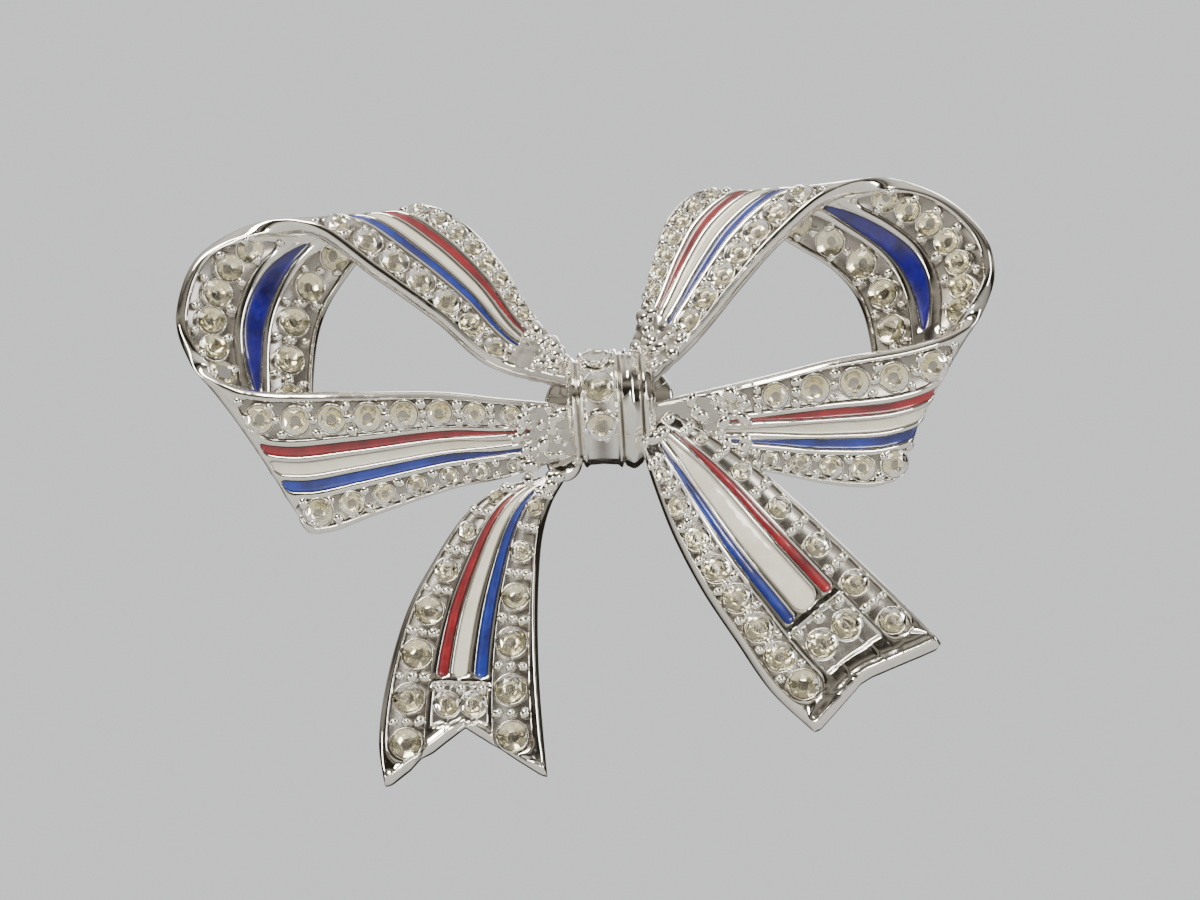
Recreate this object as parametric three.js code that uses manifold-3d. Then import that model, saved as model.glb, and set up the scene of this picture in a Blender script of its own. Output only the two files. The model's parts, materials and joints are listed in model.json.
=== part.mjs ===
// A ribbon-bow brooch: two open loops, a knot and two swallow-tail ends, cast with recessed
// cells that hold red, white and blue enamel and rows of round rhinestones. A steel pin with
// a hinged end and a turning safety lock runs across the back, behind the knot.
//
// Millimetres. The brooch stands upright, as it is worn: +X to the right of someone who looks
// at it, +Z up, and the front faces -Y. The origin is on the flat back of the knot, level with
// the pin, where the cloth lies against the brooch.
import * as THREE from "three";
import { mergeVertices } from "three/addons/utils/BufferGeometryUtils.js";
import Module from "manifold-3d";

const wasm = await Module();
wasm.setup();

// ---- Driving dimensions ----
const GAP = 0.04; // clearance between neighbouring pieces
const RIBBON = 0.9; // thickness of the cast ribbon
const CELL_DEPTH = 0.4; // how deep the enamel cells and stone channels are
const ENAMEL_BELOW = 0.06; // the enamel's surface lies this far below the metal
const STONE = 1.8; // diameter of a rhinestone
const STONE_PROUD = 0.22; // how far a rhinestone stands above the metal
const STONE_SIDES = 6;
const STONE_ROOM = 0.32; // total clearance of a rhinestone in its channel
const END_ROOM = 0.3; // clearance of a row's end rhinestones from the ends of the channel
const BED = 0.2; // thickness of the cement under a row of rhinestones
const SUNK_OUTSIDE = 0.16; // how far a rhinestone's base sinks into the cement on a face that
const SUNK_INSIDE = 0.06; // bends away from it, and on one that bends round it
const ROUND_SIDES = 16; // sides of the pin's round pieces
const FINEST = 0.002; // edges shorter than this are closed up
const CELL_WALL = 0.4; // how far a recess's cutter stands above the metal
const ACROSS_STEP = 0.34; // widest facet across a ribbon, as a fraction of its width
const NARROWEST = 4.5; // clearances are worked out for a ribbon at most this wide
const SHORTEST_ROW = 2.2; // and for rows at most this long
const STATION_ROOM = 0.05; // a station this near a cell's end is left out, in rows

// A loop's ribbon, as pairs of points from the upper root, round the loop's end and back to
// the lower root. Each row is the front rim's x, z and height above the back, then the same
// for the back edge.
const LEFT_LOOP = [
  [-1.9, 0.3, 3.5, -1.8, 1.9, 1.9],
  [-6.9, 1.9, 3.8, -4.3, 5.9, 1.4],
  [-10.3, 5.1, 4.2, -6.1, 9.6, 1.0],
  [-14.2, 8.4, 4.5, -8.2, 12.5, 0.8],
  [-17.8, 11.4, 4.7, -10.5, 13.8, 0.8],
  [-21.5, 11.9, 4.8, -13.2, 12.7, 0.8],
  [-25.2, 10.2, 4.8, -16.0, 9.9, 0.8],
  [-26.6, 6.5, 4.8, -18.1, 6.0, 0.8],
  [-25.9, 3.8, 4.8, -18.8, -0.5, 0.8],
  [-24.3, 2.1, 4.8, -18.9, -6.6, 0.8],
  [-21.6, 1.0, 4.7, -17.9, -7.4, 0.8],
  [-16.5, 0.6, 4.5, -14.9, -6.5, 0.8],
  [-10.5, 0.3, 4.1, -10.0, -5.2, 1.0],
  [-6.6, -0.3, 3.8, -6.5, -4.8, 1.4],
  [-1.9, -1.0, 3.5, -1.9, -3.7, 1.9],
];
const RIGHT_LOOP = [
  [2.5, -0.3, 3.6, 2.0, 2.3, 1.9],
  [6.1, 2.7, 3.9, 3.2, 6.9, 1.4],
  [9.0, 5.8, 4.2, 4.1, 9.9, 1.0],
  [11.8, 8.6, 4.5, 5.3, 12.4, 0.8],
  [15.2, 11.2, 4.7, 7.2, 13.5, 0.8],
  [18.8, 12.0, 4.8, 9.6, 12.4, 0.8],
  [22.2, 10.9, 4.8, 12.5, 10.1, 0.8],
  [24.6, 8.3, 4.8, 15.5, 7.7, 0.8],
  [25.1, 5.6, 4.8, 17.1, 4.6, 0.8],
  [24.1, 3.4, 4.8, 17.5, -1.0, 0.8],
  [22.5, 1.9, 4.8, 17.7, -5.9, 0.8],
  [19.4, 1.0, 4.7, 16.6, -6.9, 0.8],
  [14.5, 0.5, 4.5, 13.6, -6.5, 0.8],
  [9.6, -0.3, 4.1, 9.6, -5.4, 1.0],
  [2.7, -1.3, 3.6, 2.7, -4.0, 1.8],
];

// A tail's ribbon, as pairs of points from the knot down: the left edge's x and z, the right
// edge's x and z, and the heights of the ribbon's back and front above the brooch's back.
const LEFT_TAIL = [
  [-4.6, -5.0, -2.9, -5.0, 0.1, 1.6],
  [-7.3, -5.6, -3.8, -6.5, 0.1, 1.6],
  [-9.4, -7.1, -4.5, -8.6, 0.1, 1.6],
  [-11.4, -9.8, -4.9, -11.4, 0.1, 1.6],
  [-13.2, -12.9, -5.15, -14.6, 0.1, 1.6],
  [-14.6, -17.0, -5.25, -18.0, 0.1, 1.6],
  [-15.3, -21.0, -5.2, -21.2, 0.1, 1.6],
  [-15.0, -24.2, -5.1, -24.0, 0.1, 1.6],
];
const RIGHT_TAIL = [
  [2.1, -3.9, 3.9, -1.9, 2.5, 3.8],
  [2.7, -6.3, 6.3, -3.3, 1.9, 3.4],
  [3.7, -9.4, 9.0, -5.2, 1.0, 2.6],
  [5.2, -12.8, 11.4, -7.5, 0.4, 2.0],
  [7.1, -16.2, 14.2, -10.6, 0.1, 1.7],
  [9.0, -19.5, 17.2, -14.1, 0.1, 1.6],
  [11.6, -22.4, 19.9, -17.5, 0.1, 1.6],
];
// The V cut out of each tail's end: the point of the V, then a point past each tip.
const LEFT_NOTCH = [
  [-10.0, -20.4],
  [-4.9, -25.0],
  [-15.2, -25.2],
];
const RIGHT_NOTCH = [
  [14.9, -19.2],
  [21.4, -17.7],
  [11.3, -24.2],
];
const NOTCH_HEIGHTS = [-1, 4]; // the cutter's two ends
const CUTTER_ROWS = 3; // the right tail's rows that cross the right loop
const CUTTER_REACH = 3;

// The cells across a ribbon, as fractions of its width from the front rim (loops) or from
// the left edge (tails), and their ranges along it, in rows of the tables above.
const BAND_CELLS = {
  inner_stones: [0.07, 0.34],
  first_stripe: [0.39, 0.46],
  middle_stripe: [0.5, 0.59],
  last_stripe: [0.63, 0.71],
  outer_stones: [0.76, 0.95],
};
const END_CELLS = { outer_stones: [0.08, 0.37], crescent: [0.44, 0.64], inner_stones: [0.71, 0.95] };
const LEFT_TAIL_CELLS = {
  left_stones: [0.06, 0.28],
  first_stripe: [0.33, 0.4],
  middle_stripe: [0.43, 0.53],
  last_stripe: [0.58, 0.66],
  right_stones: [0.7, 0.93],
};
const RIGHT_TAIL_CELLS = {
  left_stones: [0.05, 0.28],
  first_stripe: [0.33, 0.4],
  middle_stripe: [0.44, 0.62],
  last_stripe: [0.66, 0.73],
  right_stones: [0.77, 0.95],
};
const UPPER_SPAN = [0.9, 4.3];
const END_SPAN = [5.5, 8.2];
const LEFT_LOWER_SPAN = [9.5, 13.1];
const RIGHT_LOWER_SPAN = [9.75, 13.1];
const LOOP_STATIONS = [
  [0, 3.5, 0.5],
  [3.75, 5, 0.25],
  [5.5, 8.5, 0.5],
  [8.75, 10.25, 0.25],
  [10.5, 14, 0.5],
]; // first, last and step of the facets along a loop, closer together at its two folds

// The knot: oval sections from its left side to its right, each with its x, the height of
// its front above the back and its half-height up and down.
const KNOT_SECTIONS = [
  [-2.2, 5.2, 2.75],
  [-1.4, 5.9, 3.2],
  [-0.2, 6.2, 3.35],
  [1.4, 6.1, 3.35],
  [2.4, 5.8, 3.2],
  [3.0, 5.2, 2.8],
];
const KNOT_Z = -0.8;
const KNOT_SIDES = 28;
const KNOT_STONE_SECTION = 2; // the stones sit on this section
const KNOT_STONE_ANGLES = [48, 90, 132]; // around it, from straight up to the front and down
const CORE = { x: 0.3, z: -0.4, halfWidth: 4.1, halfHeight: 2.9, front: 2.2 };
const LUG = { x: -2.9, z: -3.5, halfWidth: 1.5, halfHeight: 1.9, front: 1.2 };
const CORE_SIDES = 24;

// The pin, its hinge and its catch.
const PIN_BEHIND = 2.6; // the pin's centre line, behind the brooch's back
const HINGE_X = -15.5;
const CATCH_X = 15.0;
const PIN_TIP_X = 17.6;
const PIN_RADIUS = 0.42;
const PIN_RADIUS_AT_CATCH = 0.33;
const KNUCKLE_RADIUS = 0.95;
const KNUCKLE_HEIGHT = 1.4;
const RIVET_RADIUS = 0.36;
const RIVET_HEAD_RADIUS = 0.66;
const RIVET_HEAD = 0.28;
const PLATE_THICKNESS = 0.45;
const PLATE_WIDTH = 2.8; // up and down
const PLATE_LENGTH = 4.0; // along the pin
const PAD_MARGIN = 0.15; // the cast pad is this much larger than the plate, all round
const CHEEK_THICKNESS = 0.5;
const RING_OUTER = 1.5;
const RING_INNER = 1.0;
const RING_LENGTH = 1.5;
const RING_MOUTH = 1.3;
const SLEEVE_OUTER = 0.95;
const SLEEVE_INNER = 0.55;
const SLEEVE_FLANGE = 1.25;
const SLEEVE_MOUTH = 1.0;
const FLANGE_THICKNESS = 0.35;
const TAB_THICKNESS = 0.5;
const TAB_REACH = 2.6;
const TAB_WIDTH = 0.9;
const CHEEK_RADIUS = 1.1;
const POST_HALF = 0.8;
const STEM_ROOT = 0.7; // the wire starts this far from the rivet, inside the knuckle
const TAPER_START = 8; // the wire thins from here, before the catch
const TAPER_END = 2;
const OVERLAP = 0.1; // how far joined shapes run into each other
// The cast pad between a mounting plate and the loop above it: half its width up, its height,
// and the sloping top that lies inside the ribbon.
const PAD_SIDE = 0.8;
const PAD_TOP = [0.6, 3.7];
const PAD_LOW_TOP = 3.4;

// ---- Materials ----
function finish(color, roughness, metalness) {
  return new THREE.MeshStandardMaterial({ color, roughness, metalness });
}
const SILVER = finish(0xd9d6cf, 0.15, 1.0);
const STEEL = finish(0xb9bcc0, 0.3, 1.0);
const RED = finish(0xa3121c, 0.12, 0.0);
const WHITE = finish(0xf3efe2, 0.15, 0.0);
const BLUE = finish(0x1a2aa0, 0.12, 0.0);
const CRYSTAL = finish(0xe9e4c9, 0.05, 0.0);

// ---- Solids ----
// A closed geometry as a solid that can be cut and joined.
function solid(geometry) {
  const bare = geometry.index ? geometry.toNonIndexed() : geometry.clone();
  for (const name of Object.keys(bare.attributes)) {
    if (name !== "position") bare.deleteAttribute(name);
  }
  const merged = mergeVertices(bare, 1e-4);
  return new wasm.Manifold(
    new wasm.Mesh({
      numProp: 3,
      vertProperties: merged.attributes.position.array,
      triVerts: new Uint32Array(merged.index.array),
    }),
  );
}

// A cut or joined solid as a geometry, without the slivers that cutting leaves.
function geometryOf(shape) {
  const mesh = shape.asOriginal().simplify(FINEST).getMesh();
  const geometry = new THREE.BufferGeometry();
  geometry.setAttribute("position", new THREE.BufferAttribute(mesh.vertProperties, 3));
  geometry.setIndex(new THREE.BufferAttribute(mesh.triVerts, 1));
  return geometry.toNonIndexed();
}

// A solid through a row of outlines that all have the same number of points and are convex
// enough for their ends to be closed by a fan.
function loft(sections) {
  const count = sections[0].length;
  const points = sections.flat();
  const faces = [];
  for (let row = 0; row + 1 < sections.length; row += 1) {
    for (let i = 0; i < count; i += 1) {
      const a = row * count + i;
      const b = row * count + ((i + 1) % count);
      faces.push(a, b, b + count, a, b + count, a + count);
    }
  }
  const last = (sections.length - 1) * count;
  for (let i = 1; i + 1 < count; i += 1) {
    faces.push(0, i + 1, i);
    faces.push(last, last + i, last + i + 1);
  }
  const geometry = new THREE.BufferGeometry().setFromPoints(points);
  geometry.setIndex(faces);
  const made = solid(geometry);
  if (made.volume() > 0) return made;
  geometry.setIndex(faces.reverse());
  return solid(geometry);
}

// A point at a height above the brooch's flat back.
function at(x, z, height) {
  return new THREE.Vector3(x, -height, z);
}

function steps(from, to, most) {
  const count = Math.max(1, Math.ceil((to - from) / most));
  return Array.from({ length: count + 1 }, (_, i) => from + ((to - from) * i) / count);
}

// The two ends of a range and the ribbon's own stations between them, so that pieces that lie
// against each other share their facets.
function stationsIn(ribbon, from, to) {
  const between = ribbon.stations.filter((u) => u > from + STATION_ROOM && u < to - STATION_ROOM);
  return [from, ...between, to];
}

// ---- Ribbon surfaces ----
// A ribbon gives a point for a place along it (in rows of its table), across it (0 to 1) and
// above its middle surface; positive heights are on its decorated outer face.
function smoothCurve(points) {
  return new THREE.CatmullRomCurve3(points, false, "catmullrom");
}

function loopRibbon(table, side) {
  const front = smoothCurve(table.map((row) => at(row[0], row[1], row[2])));
  const back = smoothCurve(table.map((row) => at(row[3], row[4], row[5])));
  const rows = table.length - 1;
  const stations = LOOP_STATIONS.flatMap(([first, last, step]) => steps(first, last, step));
  const middle = (along, across) => {
    const share = along / rows;
    return front.getPoint(share).lerp(back.getPoint(share), across);
  };
  const normal = (along, across) => {
    const nudge = 0.02;
    const forward = middle(Math.min(along + nudge, rows), across);
    forward.sub(middle(Math.max(along - nudge, 0), across));
    const sideways = middle(along, 1).sub(middle(along, 0));
    return forward.cross(sideways).normalize().multiplyScalar(side);
  };
  const point = (along, across, height) =>
    middle(along, across).addScaledVector(normal(along, across), height);
  return { rows, stations, point, normal, face: RIBBON / 2, under: -RIBBON / 2 };
}

// A tail lies flat: its height is measured from its back, and its face is its front.
function tailRibbon(table) {
  const left = smoothCurve(table.map((row) => at(row[0], row[1], row[4])));
  const right = smoothCurve(table.map((row) => at(row[2], row[3], row[4])));
  const heights = table.map((row) => row[5] - row[4]);
  const rows = table.length - 1;
  const thickness = (along) => {
    const row = Math.min(Math.floor(along), rows - 1);
    return THREE.MathUtils.lerp(heights[row], heights[row + 1], along - row);
  };
  const outward = new THREE.Vector3(0, -1, 0);
  const point = (along, across, height) => {
    const base = left.getPoint(along / rows).lerp(right.getPoint(along / rows), across);
    return base.addScaledVector(outward, thickness(along) + height);
  };
  const normal = (along, across) => {
    const nudge = 0.2;
    const forward = point(Math.min(along + nudge, rows), across, 0);
    forward.sub(point(Math.max(along - nudge, 0), across, 0));
    return forward.cross(point(along, 1, 0).sub(point(along, 0, 0))).normalize();
  };
  return { rows, stations: steps(0, rows, 0.5), point, normal, face: 0, under: null, thickness };
}

// A bar of the ribbon between two places along it, two places across it and two heights.
function strip(ribbon, along, across, low, high) {
  const widths = steps(across[0], across[1], ACROSS_STEP);
  return loft(
    stationsIn(ribbon, along[0], along[1]).map((u) => {
      const bottom = ribbon.under === null && low === null ? -ribbon.thickness(u) : low;
      const top = widths.map((v) => ribbon.point(u, v, high));
      const underside = widths.map((v) => ribbon.point(u, v, bottom)).reverse();
      return [...top, ...underside];
    }),
  );
}

// The recess for a cell on the outer face (sign 1) or the inner face (sign -1) of a ribbon.
function recess(ribbon, along, across, sign) {
  const floor = sign * (ribbon.face - CELL_DEPTH);
  const above = sign * (ribbon.face + CELL_WALL);
  return strip(ribbon, along, across, Math.min(floor, above), Math.max(floor, above));
}

// A fraction of a ribbon's width, or of a row along it, for a distance in millimetres.
function shares(ribbon, along, across, distance) {
  const middleRow = (along[0] + along[1]) / 2;
  const low = ribbon.point(middleRow - 0.5, across[0], 0);
  const high = ribbon.point(middleRow + 0.5, across[0], 0);
  const width = ribbon.point(middleRow, 1, 0).distanceTo(ribbon.point(middleRow, 0, 0));
  return {
    across: distance / Math.min(width, NARROWEST),
    along: distance / Math.min(low.distanceTo(high), SHORTEST_ROW),
  };
}

function inset(ribbon, along, across) {
  const share = shares(ribbon, along, across, GAP);
  return {
    along: [along[0] + share.along, along[1] - share.along],
    across: [across[0] + share.across, across[1] - share.across],
  };
}

// The enamel that fills a cell to just under the metal around it.
function enamel(ribbon, along, across, sign) {
  const cell = inset(ribbon, along, across);
  const floor = sign * (ribbon.face - CELL_DEPTH + GAP);
  const top = sign * (ribbon.face - ENAMEL_BELOW);
  return strip(ribbon, cell.along, cell.across, Math.min(floor, top), Math.max(floor, top));
}

// A rhinestone as a faceted disc whose flat base sits on a point and faces along a normal.
function stone(base, normal, diameter, height) {
  const disc = new THREE.CylinderGeometry(diameter * 0.32, diameter * 0.5, height, STONE_SIDES);
  disc.translate(0, height / 2, 0);
  disc.applyQuaternion(new THREE.Quaternion().setFromUnitVectors(new THREE.Vector3(0, 1, 0), normal));
  disc.translate(base.x, base.y, base.z);
  return solid(disc);
}

// Places along a channel's middle, an even distance apart, with room for a stone at its ends.
function evenPlaces(ribbon, along, across, count) {
  const fine = steps(along[0], along[1], 0.02);
  const run = [0];
  for (let i = 1; i < fine.length; i += 1) {
    const step = ribbon.point(fine[i], across, 0).distanceTo(ribbon.point(fine[i - 1], across, 0));
    run.push(run[i - 1] + step);
  }
  const margin = STONE / 2 + END_ROOM;
  const length = run[run.length - 1] - 2 * margin;
  return Array.from({ length: count }, (_, i) => {
    const target = margin + (length * i) / (count - 1);
    return [fine[run.findIndex((distance) => distance >= target)], across];
  });
}

// Places side by side across the middle of a short, wide cell.
function sideBySide(along, across, count) {
  const share = (across[1] - across[0]) / count;
  return Array.from({ length: count }, (_, i) => [
    (along[0] + along[1]) / 2,
    across[0] + share * (i + 0.5),
  ]);
}

// A row of rhinestones in its channel, on a thin bed of cement that joins them.
function stoneRow(ribbon, along, across, sign, count, abreast) {
  const cell = inset(ribbon, along, across);
  const floor = ribbon.face - CELL_DEPTH + GAP;
  const bedTop = floor + BED;
  const low = Math.min(sign * floor, sign * bedTop);
  const high = Math.max(sign * floor, sign * bedTop);
  let row = strip(ribbon, cell.along, cell.across, low, high);
  const middle = (across[0] + across[1]) / 2;
  const seat = bedTop - (sign > 0 ? SUNK_OUTSIDE : SUNK_INSIDE);
  const height = ribbon.face - seat + STONE_PROUD;
  const places = abreast
    ? sideBySide(cell.along, cell.across, count)
    : evenPlaces(ribbon, cell.along, middle, count);
  for (const [u, v] of places) {
    const width = ribbon.point(u, cell.across[0], 0).distanceTo(ribbon.point(u, cell.across[1], 0));
    const length = ribbon.point(cell.along[0], v, 0).distanceTo(ribbon.point(cell.along[1], v, 0));
    const room = Math.min(abreast ? width / count : width, length);
    const base = ribbon.point(u, v, sign * seat);
    const normal = ribbon.normal(u, v).multiplyScalar(sign);
    row = row.add(stone(base, normal, Math.min(STONE, room - STONE_ROOM), height));
  }
  return row;
}

// ---- The knot ----
// The place on an oval section at an angle from straight up, with its direction outwards.
function onSection([x, front, half], angle, grow = 0) {
  const depth = front / 2;
  const place = at(
    x,
    KNOT_Z + (half + grow) * Math.cos(angle),
    depth + (depth + grow) * Math.sin(angle),
  );
  const outward = at(0, Math.cos(angle) / half, Math.sin(angle) / depth).normalize();
  return { place, outward };
}

function knotBarrel(grow = 0) {
  const angles = steps(0, 2 * Math.PI, (2 * Math.PI) / KNOT_SIDES).slice(0, KNOT_SIDES);
  const sections = KNOT_SECTIONS.map((row) => angles.map((angle) => onSection(row, angle, grow).place));
  sections[0].forEach((point) => point.setX(point.x - grow));
  sections[sections.length - 1].forEach((point) => point.setX(point.x + grow));
  return loft(sections);
}

// An oval plate behind the knot that the roots of the loops and tails are soldered to.
function ovalPlate(oval, grow = 0) {
  const angles = steps(0, 2 * Math.PI, (2 * Math.PI) / CORE_SIDES).slice(0, CORE_SIDES);
  const sections = [-grow, oval.front + grow].map((height) =>
    angles.map((angle) => {
      const x = oval.x + (oval.halfWidth + grow) * Math.cos(angle);
      return at(x, oval.z + (oval.halfHeight + grow) * Math.sin(angle), height);
    }),
  );
  return loft(sections);
}

function wholeKnot(grow = 0) {
  return knotBarrel(grow).add(ovalPlate(CORE, grow)).add(ovalPlate(LUG, grow));
}

function knotStone(degrees, extra) {
  const angle = THREE.MathUtils.degToRad(degrees);
  const { place, outward } = onSection(KNOT_SECTIONS[KNOT_STONE_SECTION], angle);
  const sunk = CELL_DEPTH + extra;
  const height = sunk + STONE_PROUD + 3 * extra;
  return stone(place.addScaledVector(outward, -sunk), outward, STONE + 2 * extra, height);
}

// ---- The pin's pieces ----
// A flat outline in the plane of the brooch's depth and one more axis, as a bar along X.
function barAlongX(shape, fromX, length) {
  const curveSegments = ROUND_SIDES * 0.75;
  const bar = new THREE.ExtrudeGeometry(shape, { depth: length, bevelEnabled: false, curveSegments });
  const turn = new THREE.Matrix4().makeBasis(
    new THREE.Vector3(0, 1, 0),
    new THREE.Vector3(0, 0, 1),
    new THREE.Vector3(1, 0, 0),
  );
  bar.applyMatrix4(turn);
  bar.translate(fromX, PIN_BEHIND, 0);
  return solid(bar);
}

// A C-shaped ring around the pin's line, open towards the back.
function ring(outer, inner, mouth, fromX, length) {
  const outerAngle = Math.asin(mouth / 2 / outer);
  const innerAngle = Math.asin(mouth / 2 / inner);
  const shape = new THREE.Shape();
  shape.absarc(0, 0, outer, outerAngle, 2 * Math.PI - outerAngle, false);
  shape.absarc(0, 0, inner, 2 * Math.PI - innerAngle, innerAngle, true);
  shape.closePath();
  return barAlongX(shape, fromX, length);
}

function box(low, high) {
  const block = new THREE.BoxGeometry(high[0] - low[0], high[1] - low[1], high[2] - low[2]);
  block.translate((low[0] + high[0]) / 2, (low[1] + high[1]) / 2, (low[2] + high[2]) / 2);
  return solid(block);
}

function mountingPlate(x) {
  const low = [x - PLATE_LENGTH / 2, GAP, -PLATE_WIDTH / 2];
  return box(low, [x + PLATE_LENGTH / 2, GAP + PLATE_THICKNESS, PLATE_WIDTH / 2]);
}

// The flat cast pad on a loop's underside that a plate is soldered to.
function pad(x) {
  const half = PLATE_WIDTH / 2 + PAD_MARGIN;
  const length = PLATE_LENGTH / 2 + PAD_MARGIN;
  const outline = [
    [half, 0],
    [half, PAD_SIDE],
    PAD_TOP,
    [-half, PAD_LOW_TOP],
    [-half, 0],
  ];
  const ends = [x - length, x + length];
  return loft(ends.map((end) => outline.map(([z, height]) => at(end, z, height))));
}

function hingeBracket() {
  const cheek = new THREE.Shape();
  cheek.moveTo(-CHEEK_RADIUS, -PIN_BEHIND + GAP + OVERLAP);
  cheek.lineTo(CHEEK_RADIUS, -PIN_BEHIND + GAP + OVERLAP);
  cheek.lineTo(CHEEK_RADIUS, 0);
  cheek.absarc(0, 0, CHEEK_RADIUS, 0, Math.PI, false);
  cheek.closePath();
  const hole = new THREE.Path();
  hole.absarc(0, 0, RIVET_RADIUS + GAP, 0, 2 * Math.PI, false);
  cheek.holes.push(hole);
  let bracket = mountingPlate(HINGE_X);
  const inside = KNUCKLE_HEIGHT / 2 + 2 * GAP;
  for (const bottom of [inside, -inside - CHEEK_THICKNESS]) {
    const wall = new THREE.ExtrudeGeometry(cheek, {
      depth: CHEEK_THICKNESS,
      bevelEnabled: false,
      curveSegments: ROUND_SIDES / 2,
    });
    wall.translate(HINGE_X, PIN_BEHIND, bottom);
    bracket = bracket.add(solid(wall));
  }
  return bracket;
}

function hingeRivet() {
  const half = KNUCKLE_HEIGHT / 2 + 2 * GAP + CHEEK_THICKNESS + GAP;
  const profile = [
    [0, -half - RIVET_HEAD],
    [RIVET_HEAD_RADIUS * 0.6, -half - RIVET_HEAD],
    [RIVET_HEAD_RADIUS, -half],
    [RIVET_RADIUS, -half],
    [RIVET_RADIUS, half],
    [RIVET_HEAD_RADIUS, half],
    [RIVET_HEAD_RADIUS * 0.6, half + RIVET_HEAD],
    [0, half + RIVET_HEAD],
  ];
  const turned = profile.map(([r, z]) => new THREE.Vector2(r, z));
  const rivet = new THREE.LatheGeometry(turned, ROUND_SIDES);
  rivet.rotateX(Math.PI / 2);
  rivet.translate(HINGE_X, PIN_BEHIND, 0);
  return solid(rivet);
}

function pinStem() {
  const knuckle = new THREE.Shape();
  knuckle.absarc(0, 0, KNUCKLE_RADIUS, 0, 2 * Math.PI, false);
  const hole = new THREE.Path();
  hole.absarc(0, 0, RIVET_RADIUS + GAP, 0, 2 * Math.PI, false);
  knuckle.holes.push(hole);
  const drum = new THREE.ExtrudeGeometry(knuckle, {
    depth: KNUCKLE_HEIGHT,
    bevelEnabled: false,
    curveSegments: ROUND_SIDES / 2,
  });
  drum.translate(HINGE_X, PIN_BEHIND, -KNUCKLE_HEIGHT / 2);
  const catchAway = CATCH_X - HINGE_X;
  const profile = [
    [0, STEM_ROOT],
    [PIN_RADIUS, STEM_ROOT],
    [PIN_RADIUS, catchAway - TAPER_START],
    [PIN_RADIUS_AT_CATCH, catchAway - TAPER_END],
    [PIN_RADIUS_AT_CATCH * 0.8, catchAway + RING_LENGTH / 2],
    [0, PIN_TIP_X - HINGE_X],
  ];
  const turned = profile.map(([r, x]) => new THREE.Vector2(r, x));
  const wire = new THREE.LatheGeometry(turned, ROUND_SIDES / 2);
  wire.rotateZ(-Math.PI / 2);
  wire.translate(HINGE_X, PIN_BEHIND, 0);
  return solid(drum).add(solid(wire));
}

function catchBody() {
  const post = box(
    [CATCH_X - RING_LENGTH / 2, GAP + OVERLAP, -POST_HALF],
    [CATCH_X + RING_LENGTH / 2, PIN_BEHIND - RING_INNER - OVERLAP, POST_HALF],
  );
  const jaw = ring(RING_OUTER, RING_INNER, RING_MOUTH, CATCH_X - RING_LENGTH / 2, RING_LENGTH);
  return mountingPlate(CATCH_X).add(post).add(jaw);
}

function catchLock() {
  const half = RING_LENGTH / 2 + GAP;
  const start = CATCH_X - half - FLANGE_THICKNESS;
  const length = 2 * (half + FLANGE_THICKNESS) + TAB_THICKNESS;
  const tube = ring(SLEEVE_OUTER, SLEEVE_INNER, SLEEVE_MOUTH, start, length);
  const flange = ring(SLEEVE_FLANGE, SLEEVE_INNER, SLEEVE_MOUTH, start, FLANGE_THICKNESS);
  const collarLength = FLANGE_THICKNESS + TAB_THICKNESS;
  const collar = ring(SLEEVE_FLANGE, SLEEVE_INNER, SLEEVE_MOUTH, CATCH_X + half, collarLength);
  const tabStart = CATCH_X + half + FLANGE_THICKNESS;
  const tabTop = -(SLEEVE_INNER + SLEEVE_OUTER) / 2;
  const tab = box(
    [tabStart, PIN_BEHIND - TAB_WIDTH / 2, -TAB_REACH],
    [tabStart + TAB_THICKNESS, PIN_BEHIND + TAB_WIDTH / 2, tabTop],
  );
  return tube.add(flange).add(collar).add(tab);
}

// ---- Assembly ----
const brooch = new THREE.Group();

function place(name, shape, material) {
  const mesh = new THREE.Mesh(geometryOf(shape), material);
  mesh.name = name;
  brooch.add(mesh);
}

// The cells of one piece: adds each filling to the brooch and returns the recesses to cut.
function fillCells(name, ribbon, cells) {
  const recesses = [];
  for (const { part, along, across, sign = 1, color, stones, abreast = false } of cells) {
    recesses.push(recess(ribbon, along, across, sign));
    const filling = stones
      ? stoneRow(ribbon, along, across, sign, stones, abreast)
      : enamel(ribbon, along, across, sign);
    place(`${name}_${part}`, filling, stones ? CRYSTAL : color);
  }
  return recesses;
}

// One band of a loop: a row of stones at each edge and three stripes between them.
function bandCells(band, span, colors, stones) {
  const stripes = [BAND_CELLS.first_stripe, BAND_CELLS.middle_stripe, BAND_CELLS.last_stripe];
  const inner = { part: `${band}_inner_stones`, across: BAND_CELLS.inner_stones, stones: stones[0] };
  const outer = { part: `${band}_outer_stones`, across: BAND_CELLS.outer_stones, stones: stones[1] };
  const fills = colors.map(([label, color], i) => ({
    part: `${band}_${label}_enamel`,
    across: stripes[i],
    color,
  }));
  return [inner, ...fills, outer].map((cell) => ({ ...cell, along: span }));
}

// The inside of a loop's end: a crescent between two rows of stones.
function endCells(stones) {
  return [
    { part: "end_outer_stones", across: END_CELLS.outer_stones, stones: stones[0] },
    { part: "end_crescent_enamel", across: END_CELLS.crescent, color: BLUE },
    { part: "end_inner_stones", across: END_CELLS.inner_stones, stones: stones[1] },
  ].map((cell) => ({ ...cell, along: END_SPAN, sign: -1 }));
}

const RED_STRIPE = ["red", RED];
const WHITE_STRIPE = ["white", WHITE];
const BLUE_STRIPE = ["blue", BLUE];

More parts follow.
